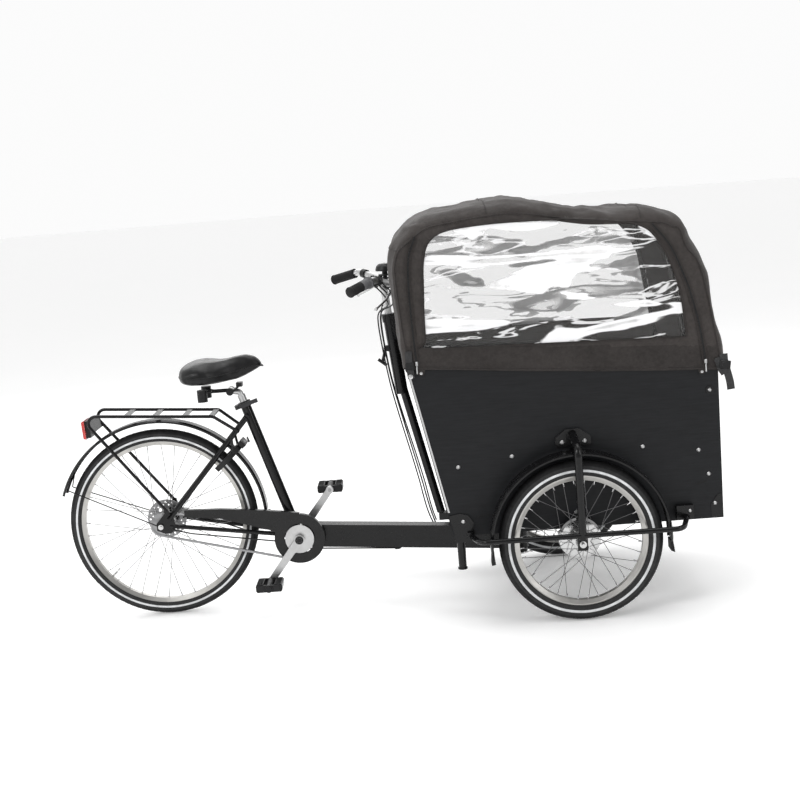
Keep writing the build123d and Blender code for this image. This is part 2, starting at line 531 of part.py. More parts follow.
# wheel guards: post, hoop bar, corner plate and clamp, each side
gu = []
for s in (-1, 1):
    post = pipe([(1385, s * 428, 242), (1385, s * 428, 566), (1382, s * 317, 592)], [34], 13.0)
    post = post - brick(1350, 1420, s * 424.0, s * 445, 225, 275) - brick(1350, 1420, s * 410, s * 415.0, 225, 275)
    post = post + brick(1369, 1401, s * 415.0, s * 424.0, 238, 282)
    bar = pipe([(1042, s * 322, 283), (1066, s * 432, 289), (1700, s * 432, 289), (1732, s * 326, 300)], [34, 34], 8.5)
    p = post + bar
    p = p + slab([(1332, 550), (1436, 550), (1440, 560), (1440, 582), (1404, 608), (1362, 608), (1328, 582), (1328, 560)], s * 310.2, s * 319)
    p = p + slab([(988, 262), (1046, 262), (1052, 270), (1052, 326), (1036, 350), (1010, 358), (975, 352), (989, 286)], s * 310.2, s * 315.0)
    p = p + brick(1030, 1052, s * 314, s * 328, 272, 296)
    p = p + brick(1698, 1752, s * 310.2, s * 334, 292, 336)
    p = p - ring_y(FRONT_X, FRONT_R, 6.04, s * 405, s * 450)
    gu.append(p)
out("wheel_guards", *gu)

# front fenders with end flaps
fe = []
for s in (-1, 1):
    y = s * FRONT_Y
    prof = [(y - 35, 278), (y - 35, 283), (y - 28, 287), (y + 28, 287), (y + 35, 283), (y + 35, 278), (y + 33.6, 278), (y + 33.6, 282.3), (y + 27.4, 285.6),
            (y - 27.4, 285.6), (y - 33.6, 282.3), (y - 33.6, 278)]
    f = turned(FRONT_X, FRONT_R, prof, arc=187.5, start=-3.4)
    f = f + (brick(1372, 1398, s * 310.1, s * 340, 540, 544.5) + brick(1372, 1398, s * 310.1, s * 313, 522, 544.5)
             - turned(FRONT_X, FRONT_R, [(y - 60, 200), (y - 60, 283.2), (y + 60, 283.2), (y + 60, 200)]))
    fe.append(f)
    fe.append(slab([(1100.2, 238.0), (1107.5, 238.4), (1111, 205), (1098, 202)], y - 27, y + 27))
    fe.append(slab([(1663.5, 242.0), (1671.2, 242.2), (1676, 205), (1664, 210)], y - 27, y + 27))
out("front_fenders", *fe)

# ================================================================ cargo box
for s, name in ((-1, "right"), (1, "left")):
    out(f"box_side_{name}", slab([BOX_RB, BOX_FB, BOX_FT, BOX_RT], s * (BOX_Y - PLY), s * BOX_Y))
IN = BOX_Y - PLY - 0.1
out("box_front", brick(1839, 1851, -IN, IN, BOX_BOT, 782))
tx = PLY * math.sqrt(1 + KNEE * KNEE)
zb = 290.0
out("box_rear", slab([(rear_edge(zb), zb), (rear_edge(zb) + tx, zb), (rear_edge(845) + tx, 845), (rear_edge(845), 845)], -IN, IN))
out("box_floor", slab([(rear_edge(315) + tx + .2, 315.05), (1838.9, 315.05), (1838.9, 327), (rear_edge(315) + tx + .2, 327)], -IN, IN))
HX, HZ = 956.0, 551.0
out("bench_riser", brick(1185, 1197, -IN, IN, 327.1, 544.5))
seat = brick(964, 1207, -294, 294, 545, 557)
pins = []
for s in (-1, 1):
    y0, y1 = s * 180, s * 240
    seat = seat + (ring_y(HX, HZ, 6.0, y0, y1) + brick(HX, 966, y0, y1, 548, 554)) - ring_y(HX, HZ, 3.05, s * 100, s * 290)
    pins.append(ring_y(HX, HZ, 3.0, s * 170, s * 250)
                + ring_y(HX, HZ, 5.8, s * 170, s * 179.5) + ring_y(HX, HZ, 5.8, s * 240.5, s * 250)
                + brick(rear_edge(548) + tx + .3, HX, s * 170, s * 179.5, 548, 554) + brick(rear_edge(548) + tx + .3, HX, s * 240.5, s * 250, 548, 554))
out("bench_seat", seat)

# fasteners, edge strips and corner plates of the box
hw = list(pins)
BOLTS = [(1015, 508), (1188, 531), (1604, 532), (1780, 508), (1809, 428), (1740, 318), (1382, 334)]
for s in (-1, 1):
    for x, z in BOLTS:
        if x == 1740:
            hw.append(rod((x, s * 334.1, z), (x, s * 337, z), 5.5, r2=3.0))
        else:
            hw.append(rod((x, s * 310.05, z), (x, s * 313.2, z), 6.5, r2=3.5))
    for x, z in ((1348, 566), (1420, 566)):
        hw.append(rod((x, s * 319.1, z), (x, s * 323, z), 7.0, r2=4.0))
    hw.append(rod((1019, s * 315.1, 330), (1019, s * 318.5, 330), 6.5, r2=3.5))
    # edge strip along the slanted rear edge
    a0, a1 = (rear_edge(352) + .2, 356), (rear_edge(838) + .2, 838)
    hw.append(slab([(a0[0] + 1, a0[1] + 6), (a0[0] + 7, a0[1] + 6), (a1[0] + 7, a1[1]), (a1[0] + 1, a1[1])], s * 310.1, s * 311.4))
    # front corner plates
    hw.append(slab([(1812, 284), (1850.5, 284), (1850.5, 362), (1836, 362), (1812, 330)], s * 310.1, s * 312.0))
    hw.append(rod((1825, s * 312.1, 332), (1825, s * 315, 332), 6.0, r2=3.5))
    hw.append(rod((1822, s * 310.1, 699), (1822, s * 312, 699), 13.0))
    hw.append(rod((1822, s * 312.1, 699), (1822, s * 315, 699), 6.0, r2=3.5))
out("box_hardware", *hw)

# ================================================================ canopy
CAN = [(859, 820), (846, 960), (838, 1115), (838, 1164), (858, 1234), (897, 1280), (958, 1318), (1052, 1332), (1144, 1341), (1228, 1344), (1311, 1334),
       (1415, 1313), (1483, 1300), (1582, 1293), (1695, 1281), (1733, 1270), (1766, 1247), (1788, 1194), (1822, 1126), (1847, 1015), (1860, 910), (1877, 820), (1880, 752)]


def inset(points, d):
    """Points moved inward by d, for a list that runs clockwise from the bottom rear corner; the first and last only sideways."""
    got = []
    n = len(points)
    for i, (x, z) in enumerate(points):
        if i == 0:
            got.append((x + d, z))
            continue
        if i == n - 1:
            got.append((x - d, z))
            continue
        ax, az = points[i - 1]
        bx, bz = points[i + 1]
        tx_, tz_ = bx - ax, bz - az
        ln = math.hypot(tx_, tz_)
        got.append((x + tz_ / ln * d, z - tx_ / ln * d))
    return got


def arch(hw_, top, lo=700.0):
    pts = [(hw_, lo), (hw_, 1150), (hw_ - 4, 1226), (hw_ - 20, 1280), (hw_ - 54, 1314), (hw_ - 116, top - 6), (hw_ - 216, top)]
    full = [(y, z) for y, z in pts] + [(-y, z) for y, z in reversed(pts)]
    w = Polyline(*[(780, y, z) for y, z in full], close=True)
    return extrude(make_face(w), amount=1200, dir=(1, 0, 0))


c_out = slab(CAN, -400, 400) & arch(CANOPY_Y, 1344)
ins = inset(CAN, CLOTH)
ins[0] = (ins[0][0] + 2, 780)
ins[-1] = (ins[-1][0], 700)
c_in = slab([(ins[0][0], 700)] + ins, -400, 400) & arch(CANOPY_Y - CLOTH, 1344 - CLOTH)
RECESS = [(790, 862), (862, 862), (868, 900), (868, 1150), (856, 1215), (790, 1215)]
c_out = c_out - slab(RECESS, -296, 296) - slab([(790, 740), (866, 740), (866, 880), (790, 880)], -34, 34)
c_in = c_in - slab([(x + (CLOTH if x > 800 else 0), z) for x, z in RECESS], -300, 300) - slab([(790, 600), (870, 600), (870, 884), (790, 884)], -38, 38)
shell = c_out - c_in
shell = shell - brick(700, 2000, -400, 400, 600, 745)
# windows: sides, front and rear
WIN = [(951, 897), (1752, 876), (1738, 1010), (1700, 1140), (1653, 1212), (1560, 1240), (1321, 1262), (1060, 1262), (978, 1236), (952, 1180)]
wcut = slab(WIN, -400, 400)
fcut = brick(1790, 1900, -225, 225, 880, 1120)
rcut = brick(800, 870, -190, 190, 900, 1150)
shell_w = (shell & wcut), (shell & fcut), (shell & rcut)
can = shell - wcut - fcut - rcut
out("canopy", *can.solids())
wins = []
for w in shell_w:
    wins += list(w.solids())
out("canopy_windows", *[w for w in wins if w.volume > 50])
poles = []
for xb, zb_, xt, zt in ((930, 700, 900, 1262), (1780, 700, 1706, 1250)):
    poles.append(pipe([(xb, -286, zb_), (xt, -286, zt - 66), (xt + .5, -212, zt), (xt + .5, 212, zt), (xt, 286, zt - 66), (xb, 286, zb_)], [60, 60, 60, 60], 8.0))
out("canopy_poles", *poles)
st = []
for s in (-1, 1):
    st.append(slab([(868, 876), (893, 876), (897, 806), (872, 806)], s * 316.2, s * 319.0))
    st.append(slab([(866, 848), (898, 848), (898, 812), (867, 812)], s * 319.1, s * 327.0))
    st.append(slab([(1862, 812), (1884, 812), (1892, 700), (1872, 694)], s * 316.2, s * 319.0))
    st.append(slab([(1852, 800), (1884, 800), (1884, 764), (1852, 764)], s * 319.1, s * 327.0))
out("canopy_straps", *st)

# ================================================================ steering column and controls
S0, S1 = Vector(824, 0, 984), Vector(850, 0, 712)                          # upper sleeve
B0, B1 = Vector(853, 0, 735), Vector(952.5, 0, 289.2)                      # lower tube
sleeve = rod(tuple(S0), tuple(S1), 20.5) + rod(tuple(S0 + (S0 - S1).normalized() * 1.0), tuple(S0 - (S0 - S1).normalized() * 26), 24.0)
col = sleeve + rod(tuple(B0), tuple(B1), 14.0)
col = col - brick(900, 1000, -60, 60, 270, 288.5)
PX, PZ = 806.0, 868.0
lug = None
for s in (-1, 1):
    col = col + slab([(834, 880), (834, 852), (PX + 2, PZ - 8), (PX - 7, PZ - 4), (PX - 7, PZ + 5), (PX + 2, PZ + 9)], s * 6.2, s * 10.5)
col = col + ring_y(PX, PZ, 2.9, -10.5, 10.5)
gus = slab([(930, 292), (966, 292), (960, 330), (936, 330)], -4, 4)
out("steering_column", col)
pk = ring_y(PX, PZ, 7.5, -5.9, 5.9) + rod((PX - 1, 0, PZ - 3), (PX - 14, 0, PZ - 46), 5.5)
pk = pk + rod((PX - 28, 0, PZ - 36), (PX - 1, 0, PZ - 58), 5.5)
pk = pk - ring_y(PX, PZ, 2.96, -20, 20)
out("parking_lever", pk)

bt = math.radians(BAR_TURN)


def bl(x, y, z):
    """Point in the handlebar's own frame, turned in the stem."""
    return (BAR[0] + x * math.cos(bt) - y * math.sin(bt), BAR[1] + x * math.sin(bt) + y * math.cos(bt), BAR[2] + z)


END, ELB, SHO, CEN = (-142, 302, 8), (-58, 222, 34), (2, 122, 14), (0, 46, 0)


def side_pt(p, s):
    return bl(p[0], s * p[1], p[2])


bar_pts = [side_pt(END, -1), side_pt(ELB, -1), side_pt(SHO, -1), side_pt(CEN, -1), side_pt(CEN, 1), side_pt(SHO, 1), side_pt(ELB, 1), side_pt(END, 1)]
hb = pipe(bar_pts, [40, 40, 40, 40, 40, 40], 11.1)
stem = rod(tuple(S0 + (S0 - S1).normalized() * 1.1), (BAR[0], 0, BAR[2] - 12), 12.5)
stem = stem + rod(bl(0, -24, 0), bl(0, 24, 0), 18.0) - rod(bl(0, -60, 0), bl(0, 60, 0), 11.15)
out("handlebar", hb, stem)


def along(p, q, d):
    a, b = V3(p), V3(q)
    u = (b - a).normalized()
    r = a + u * d
    return (r.X, r.Y, r.Z)


gr = []
for s, n0 in ((-1, 56.0), (1, 100.0)):
    a, b = side_pt(END, s), side_pt(ELB, s)
    g = rod(along(a, b, -3.5), along(a, b, n0), 16.0) - rod(along(a, b, 0), along(a, b, 200), 11.15)
    g = g + rod(along(a, b, 0), along(a, b, 3), 17.5, 11.15)
    gr.append(g)
out("grips", *gr)
a, b = side_pt(END, -1), side_pt(ELB, -1)
out("shift_grip", rod(along(a, b, 56.6), along(a, b, 92.0), 17.0, 11.16) + rod(along(a, b, 92.0), along(a, b, 101.0), 20.5, 11.16))

LEV = {}
mounts_, levers_ = [], {}
for s, name in ((-1, "right"), (1, "left")):
    e_, o_ = side_pt(ELB, s), side_pt(SHO, s)
    c0, c1 = along(e_, o_, 22.0), along(e_, o_, 42.0)
    mid = along(e_, o_, 32.0)
    piv_p = bl(-3, s * 186, -14)                   # lever pivot, in front of and below the bar
    knee = bl(-22, s * 232, -30)
    tip = bl(-62, s * 284, -52)
    d = (V3(tip) - V3(piv_p)).normalized()
    g_ = (V3(side_pt((-100, 262, 21), 1 * s)) - V3(knee)).normalized()
    axv = d.cross(g_).normalized()
    LEV[name] = (piv_p, (axv.X, axv.Y, axv.Z))
    A = V3(piv_p)
    eye = rod(tuple(A - axv * 4.0), tuple(A + axv * 4.0), 7.0)
    blade = pipe([piv_p, knee, tip], [40], 3.9)
    lever = eye + blade + Pos(*tip) * Sphere(6.0)
    lever = lever - rod(tuple(A - axv * 20), tuple(A + axv * 20), 2.56)
    levers_[name] = lever
    mnt = rod(c0, c1, 15.5, 11.16)
    for q in (-1, 1):
        ce = A + axv * (q * 7.5)
        m = V3(mid) + axv * (q * 7.5)
        mnt = mnt + rod(tuple(ce - axv * 2.3), tuple(ce + axv * 2.3), 7.0)
        u = (m - ce)
        mnt = mnt + (rod(tuple(ce), tuple(ce + u * (1 - 12.5 / u.length)), 2.2))
    mnt = mnt + rod(tuple(A - axv * 9.9), tuple(A + axv * 9.9), 2.5)
    mnt = mnt - rod(along(e_, o_, -5), along(e_, o_, 75), 11.16)
    mounts_.append(mnt)
out("brake_lever_right", levers_["right"])
out("brake_lever_left", levers_["left"])
out("lever_mounts", *mounts_)

# bell on the right of the stem
bc = bl(-2, -76, 0)
bx, by = bc[0], bc[1]
bell = rod((bx, by, 1108), (bx, by, 1123), 22.0)
dome = revolve(make_face(Polyline((bx, by, 1134), (bx + 30, by, 1134), (bx + 30, by, 1140), (bx + 27, by, 1150), (bx + 19, by, 1157), (bx, by, 1160), close=True)),
               axis=Axis((bx, by, 0), (0, 0, 1)), revolution_arc=360)
bell = bell + rod((bx, by, 1122), (bx, by, 1135), 9.0) + dome
bell = bell - rod((bx, by, 1112), (bx, by, 1118), 40.0) + rod((bx, by, 1107), (bx, by, 1124), 7.0)
bpin = (bx - 14, by)
bell = bell + rod((bpin[0], bpin[1], 1110), (bpin[0], bpin[1], 1121), 1.9)
bell = bell + rod(along(side_pt(CEN, -1), side_pt(SHO, -1), 20), along(side_pt(CEN, -1), side_pt(SHO, -1), 42), 15.0) \
    + rod((bx, by, 1090), (bx, by, 1110), 8.0)
bell = bell - rod(along(side_pt(CEN, -1), side_pt(SHO, -1), 0), along(side_pt(CEN, -1), side_pt(SHO, -1), 70), 11.16)
out("bell", bell)
bl_ = rod((bpin[0], bpin[1], 1112.6), (bpin[0], bpin[1], 1117.4), 5.0) + brick(bpin[0] - 28, bpin[0], by - 3.5, by + 3.5, 1112.6, 1117.4) \
    + rod((bpin[0] - 28, by, 1112.6), (bpin[0] - 28, by, 1121), 6.0)
bl_ = bl_ - rod((bpin[0], bpin[1], 1100), (bpin[0], bpin[1], 1130), 1.95)
out("bell_lever", bl_)

# control cables down the column
cc = []
routes = [
    ([bl(4, -176, -2), bl(16, -140, -34), bl(12, -96, -66), (800, -50, 1004), (795, -20, 950), (811, -13, 800), (829, -12, 700), (893, -10, 420), (908, -12, 340), (921, -13, 285), (930, -14, 258)],
     [22, 26, 30, 60, 110, 200, 160, 120, 60, 36]),
    ([bl(4, 176, -2), bl(16, 140, -34), bl(12, 96, -66), (800, 50, 1004), (795, 20, 950), (811, 13, 800), (831, 12, 700), (900, 10, 420), (914, 12, 340), (925, 13, 285), (934, 14, 258)],
     [22, 26, 30, 60, 110, 200, 160, 120, 60, 36]),
    ([bl(-52, -206, 14), bl(-20, -168, -18), bl(2, -118, -62), (789, -44, 1000), (788, -25, 940), (803, -21, 812), (820, -17, 700), (884, 0, 420), (897, -1, 340), (911, -1, 280), (922, -1, 255)],
     [22, 26, 40, 60, 110, 120, 160, 120, 60, 36]),
]
for pts, rad in routes:
    cc.append(pipe(pts, rad[:len(pts) - 2], 2.4))
    L = 0
    print("cable", [round(r_) for r_ in rad])
out("control_cables", *cc)

lo = [min(b[0].X for b in BOXES), min(b[0].Y for b in BOXES), min(b[0].Z for b in BOXES)]
hi = [max(b[1].X for b in BOXES), max(b[1].Y for b in BOXES), max(b[1].Z for b in BOXES)]
print("whole", [round(v, 2) for v in lo], [round(v, 2) for v in hi], "centre", [(a + b) / 2 for a, b in zip(lo, hi)])
print("lever pivots", LEV)
print("lock centre", tuple(LC), "axis", tuple(tan_v * sgn), "seat tube axis", tuple(tz), "clamp pin", on_post(-10, e, -24))
print("bell pin", bpin, "bar ends", side_pt(END, -1), side_pt(ELB, -1))
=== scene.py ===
import math

import bpy
import numpy as np
from mathutils import Matrix, Vector, noise


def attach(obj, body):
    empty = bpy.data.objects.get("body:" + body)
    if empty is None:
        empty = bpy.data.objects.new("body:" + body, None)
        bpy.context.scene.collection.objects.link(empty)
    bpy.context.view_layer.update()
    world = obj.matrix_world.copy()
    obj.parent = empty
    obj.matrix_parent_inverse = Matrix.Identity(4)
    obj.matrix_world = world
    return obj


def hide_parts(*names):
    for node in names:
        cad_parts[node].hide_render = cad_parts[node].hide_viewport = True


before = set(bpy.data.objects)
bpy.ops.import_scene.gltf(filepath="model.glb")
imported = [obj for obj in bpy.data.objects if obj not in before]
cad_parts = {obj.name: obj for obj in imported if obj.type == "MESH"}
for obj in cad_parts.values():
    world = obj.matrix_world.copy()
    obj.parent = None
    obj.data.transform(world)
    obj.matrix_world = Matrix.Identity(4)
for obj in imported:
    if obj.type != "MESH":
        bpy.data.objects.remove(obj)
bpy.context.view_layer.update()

SC = bpy.context.scene
OX = 777.11                                   # layout x of the part's origin, mm


def L(x, y, z):
    return Vector(((x - OX) / 1000.0, y / 1000.0, z / 1000.0))


# ---------------------------------------------------------------- camera
yaw, pitch, roll = 0.0196, 0.1645, -0.0771
r0, f0, u0 = Vector((math.cos(yaw), math.sin(yaw), 0)), Vector((-math.sin(yaw), math.cos(yaw), 0)), Vector((0, 0, 1))
fwd = f0 * math.cos(pitch) - u0 * math.sin(pitch)
up = u0 * math.cos(pitch) + f0 * math.sin(pitch)
cr = r0 * math.cos(roll) + up * math.sin(roll)
cu = -r0 * math.sin(roll) + up * math.cos(roll)
cd = bpy.data.cameras.new("Camera")
cam = bpy.data.objects.new("Camera", cd)
SC.collection.objects.link(cam)
cd.lens, cd.sensor_width = 60.61, 36.0
cd.clip_end = 200
mw = Matrix((cr, cu, -fwd)).transposed().to_4x4()
mw.translation = Vector((0.15179, -4.5082, 1.4363))
cam.matrix_world = mw
SC.camera = cam


# ---------------------------------------------------------------- materials
def lin(c):
    return tuple((v / 255.0 / 12.92) if v / 255.0 <= 0.04045 else ((v / 255.0 + 0.055) / 1.055) ** 2.4 for v in c)


class Mat:
    def __init__(self, name):
        self.m = bpy.data.materials.new(name)
        self.m.use_nodes = True
        self.t = self.m.node_tree
        self.n = self.t.nodes
        self.b = self.n["Principled BSDF"]
        self.co = self.n.new("ShaderNodeTexCoord").outputs["Object"]

    def link(self, a, b):
        self.t.links.new(a, b)

    def mapped(self, scale=(1, 1, 1), rot=(0, 0, 0)):
        k = self.n.new("ShaderNodeMapping")
        k.inputs["Scale"].default_value = scale
        k.inputs["Rotation"].default_value = rot
        self.link(self.co, k.inputs["Vector"])
        return k.outputs["Vector"]

    def noise(self, scale, detail=4.0, rough=0.55, vec=None, dist=0.0):
        k = self.n.new("ShaderNodeTexNoise")
        k.inputs["Scale"].default_value = scale
        k.inputs["Detail"].default_value = detail
        k.inputs["Roughness"].default_value = rough
        k.inputs["Distortion"].default_value = dist
        self.link(vec or self.co, k.inputs["Vector"])
        return k.outputs["Fac"]

    def voronoi(self, scale, feature="F1", vec=None):
        k = self.n.new("ShaderNodeTexVoronoi")
        k.feature = feature
        k.inputs["Scale"].default_value = scale
        self.link(vec or self.co, k.inputs["Vector"])
        return k.outputs["Distance"]

    def wave(self, scale, direction="X", dist=0.0, vec=None, profile="SIN"):
        k = self.n.new("ShaderNodeTexWave")
        k.bands_direction = direction
        k.wave_profile = profile
        k.inputs["Scale"].default_value = scale
        k.inputs["Distortion"].default_value = dist
        self.link(vec or self.co, k.inputs["Vector"])
        return k.outputs["Fac"]

    def math(self, op, a, b):
        k = self.n.new("ShaderNodeMath")
        k.operation = op
        for i, v in enumerate((a, b)):
            if isinstance(v, (int, float)):
                k.inputs[i].default_value = v
            else:
                self.link(v, k.inputs[i])
        return k.outputs[0]

    def ramp(self, fac, stops):
        k = self.n.new("ShaderNodeValToRGB")
        e = k.color_ramp.elements
        while len(e) < len(stops):
            e.new(0.5)
        for i, (p, c) in enumerate(stops):
            e[i].position = p
            e[i].color = (c[0], c[1], c[2], 1) if hasattr(c, "__len__") else (c, c, c, 1)
        self.link(fac, k.inputs["Fac"])
        return k.outputs["Color"]

    def colour(self, fac, c0, c1, p0=0.3, p1=0.7):
        self.link(self.ramp(fac, [(p0, c0), (p1, c1)]), self.b.inputs["Base Color"])
        return self

    def rough(self, fac, a, b, p0=0.3, p1=0.7):
        self.link(self.ramp(fac, [(p0, a), (p1, b)]), self.b.inputs["Roughness"])
        return self

    def bump(self, height, strength, distance):
        k = self.n.new("ShaderNodeBump")
        k.inputs["Strength"].default_value = strength
        k.inputs["Distance"].default_value = distance
        self.link(height, k.inputs["Height"])
        old = [l.from_socket for l in self.t.links if l.to_socket == self.b.inputs["Normal"]]
        if old:
            self.link(old[0], k.inputs["Normal"])
        self.link(k.outputs["Normal"], self.b.inputs["Normal"])
        return self

    def set(self, **kw):
        for k, v in kw.items():
            self.b.inputs[k.replace("_", " ")].default_value = v
        return self


def two(c, k=0.82, j=1.25):
    return tuple(v * k for v in c), tuple(v * j for v in c)


def gloss_black():
    m = Mat("frame_black_gloss")
    c = two((0.0045, 0.0045, 0.0049))
    n = m.noise(14, 6)
    m.colour(n, *c).rough(m.noise(55, 5), 0.20, 0.30)
    m.bump(m.noise(420, 2), 0.05, 0.0006)
    m.set(Coat_Weight=0.14, Coat_Roughness=0.05, Specular_IOR_Level=0.22)
    return m.m


def satin_ply():
    m = Mat("box_black_satin")
    v = m.mapped((1.6, 1.6, 22))
    g = m.noise(9, 8, 0.62, v, 0.4)
    m.colour(g, (0.0060, 0.0063, 0.0072), (0.0115, 0.0122, 0.0140), 0.25, 0.75)
    m.rough(m.noise(30, 6), 0.40, 0.54)
    m.bump(m.noise(260, 4), 0.10, 0.0008)
    m.bump(g, 0.12, 0.0012)
    m.set(Specular_IOR_Level=0.22)
    return m.m


def metal(name, c, r0_, r1_, grain=(1, 1, 1), gs=160, b=0.05):
    m = Mat(name)
    n = m.noise(gs, 5, 0.6, m.mapped(grain))
    m.colour(m.noise(22, 5), tuple(v * 0.86 for v in c), c)
    m.rough(n, r0_, r1_)
    m.bump(n, b, 0.0004)
    m.set(Metallic=1.0)
    return m.m


def plastic(name, c, r0_=0.34, r1_=0.5, gs=900, b=0.12, coat=0.0):
    m = Mat(name)
    m.colour(m.noise(30, 5), *two(c))
    m.rough(m.noise(60, 4), r0_, r1_)
    m.bump(m.voronoi(gs), b, 0.0006)
    m.set(Coat_Weight=coat, Coat_Roughness=0.2, Specular_IOR_Level=0.28)
    return m.m


def rubber(name, c, r0_=0.62, r1_=0.8):
    m = Mat(name)
    m.colour(m.noise(45, 7, 0.65), *two(c, 0.75, 1.5))
    m.rough(m.noise(25, 5), r0_, r1_)
    m.bump(m.noise(700, 4), 0.25, 0.0008)
    m.set(Specular_IOR_Level=0.20)
    return m.m


def canvas(name, c, k=1.0):
    m = Mat(name)
    v = m.mapped((1, 1, 1), (0, 0, 0))
    big = m.noise(7, 6, 0.6)
    m.colour(m.math("MULTIPLY", m.math("ADD", big, m.noise(90, 5, 0.7)), 0.5), tuple(q * 0.70 * k for q in c), tuple(q * 1.35 * k for q in c), 0.35, 0.65)
    m.rough(m.noise(40, 4), 0.62, 0.82)
    w1, w2, w3 = m.wave(330, "X", 0.6), m.wave(330, "Z", 0.6), m.wave(330, "Y", 0.6)
    m.bump(m.math("ADD", m.math("MULTIPLY", w1, w2), m.math("MULTIPLY", w2, w3)), 0.22, 0.0005)
    m.bump(m.noise(34, 6, 0.6), 0.30, 0.004)
    m.set(Sheen_Weight=0.10, Sheen_Roughness=0.45, Specular_IOR_Level=0.22)
    return m.m


def clear_vinyl():
    m = Mat("vinyl_clear")
    v = m.mapped((1.0, 1.0, 5.2), (0, math.radians(20), 0))
    cr1 = m.noise(2.6, 2, 0.45, v, 0.7)
    v2 = m.mapped((1.6, 1.6, 9.0), (0, math.radians(27), 0))
    cr2 = m.noise(2.1, 3, 0.5, v2, 0.9)
    edge = m.noise(38, 3, 0.5)
    m.colour(cr2, (0.86, 0.87, 0.88), (0.98, 0.98, 0.99), 0.4, 0.6)
    m.rough(cr2, 0.03, 0.09)
    m.bump(cr1, 0.35, 0.016)
    # white crease streaks: partly the real whitening of creased vinyl, partly a painted reflection of the studio lights
    # fixed on the sheet; they raise alpha and base colour
    c1 = m.math("ADD", cr1, m.math("MULTIPLY", m.math("SUBTRACT", edge, 0.5), 0.035))
    c2 = m.math("ADD", cr2, m.math("MULTIPLY", m.math("SUBTRACT", edge, 0.5), 0.03))
    band = m.ramp(c1, [(0.555, 0.0), (0.575, 1.0), (0.64, 1.0), (0.70, 0.2)])
    thin = m.ramp(c2, [(0.560, 0.0), (0.572, 1.0), (0.600, 1.0), (0.615, 0.0)])
    haze_and_reflection_streaks = m.math("MAXIMUM", band, m.math("MULTIPLY", thin, 0.85))
    al = m.math("ADD", 0.10, m.math("MULTIPLY", haze_and_reflection_streaks, 0.80))
    m.link(al, m.b.inputs["Alpha"])
    # base colour goes from grey to near white along the streaks: crease haze plus painted reflection
    m.link(m.ramp(haze_and_reflection_streaks, [(0.0, (0.50, 0.49, 0.48)), (1.0, (0.97, 0.97, 0.98))]), m.b.inputs["Base Color"])
    m.set(Specular_IOR_Level=0.6, Coat_Weight=0.3, Coat_Roughness=0.04)
    return m.m


def lens_red():
    m = Mat("lens_red")
    m.colour(m.voronoi(420), (0.30, 0.004, 0.003), (0.62, 0.02, 0.012), 0.1, 0.7)
    m.rough(m.noise(40), 0.08, 0.2)
    m.bump(m.voronoi(420), 0.6, 0.001)
    m.set(Coat_Weight=1.0, Coat_Roughness=0.04)
    return m.m


def vinyl_black():
    m = Mat("saddle_vinyl")
    m.colour(m.noise(18, 6), (0.0050, 0.0050, 0.0053), (0.0095, 0.0095, 0.0100))
    m.rough(m.noise(70, 5), 0.30, 0.42)
    m.bump(m.voronoi(620), 0.30, 0.0007)
    m.bump(m.noise(24, 5), 0.12, 0.003)
    m.set(Specular_IOR_Level=0.24, Coat_Weight=0.06, Coat_Roughness=0.30)
    return m.m


def webbing():
    m = Mat("webbing_black")
    m.colour(m.noise(120, 4), (0.010, 0.010, 0.0105), (0.024, 0.024, 0.025))
    m.rough(m.noise(80, 4), 0.55, 0.72)
    m.bump(m.math("ADD", m.wave(300, "Z", 0.3), m.math("MULTIPLY", m.wave(600, "X", 0.3), 0.5)), 0.5, 0.0009)
    m.set(Sheen_Weight=0.1)
    return m.m


M = {
    "frame": gloss_black(),
    "box": satin_ply(),
    "silver": metal("aluminium_silver", (0.56, 0.56, 0.56), 0.26, 0.40, (1, 30, 1)),
    "chrome": metal("chrome", (0.58, 0.58, 0.58), 0.10, 0.20),
    "rim": metal("rim_silver", (0.50, 0.49, 0.47), 0.28, 0.42),
    "spoke": metal("spoke_steel", (0.17, 0.17, 0.172), 0.26, 0.42),
    "steel": metal("steel_zinc", (0.34, 0.34, 0.345), 0.26, 0.44),
    "blacksteel": metal("black_oxide_steel", (0.06, 0.06, 0.062), 0.3, 0.5),
    "tyre": rubber("tyre_rubber", (0.011, 0.011, 0.0115)),
    "wall": rubber("tyre_sidewall", (0.022, 0.022, 0.0225), 0.5, 0.68),
    "stripe": plastic("reflective_stripe", (0.62, 0.63, 0.64), 0.3, 0.45, 1500, 0.2),
    "rubber": rubber("grip_rubber", (0.011, 0.011, 0.0115), 0.5, 0.7),
    "plastic": plastic("black_plastic", (0.010, 0.010, 0.0105)),
    "guard": plastic("guard_satin_black", (0.005, 0.005, 0.0053), 0.24, 0.34, 500, 0.04, 0.10),
    "greyplastic": plastic("grey_plastic", (0.11, 0.11, 0.115)),
    "saddle": vinyl_black(),
    "canvas": canvas("canopy_canvas", (0.038, 0.033, 0.031)),
    "hem": canvas("canopy_hem", (0.030, 0.026, 0.0245), 0.95),
    "vinyl": clear_vinyl(),
    "webbing": webbing(),
    "lens": lens_red(),
    "cable": plastic("cable_housing", (0.008, 0.008, 0.0085), 0.3, 0.42, 1200, 0.1),
    "seat_wood": satin_ply(),
}

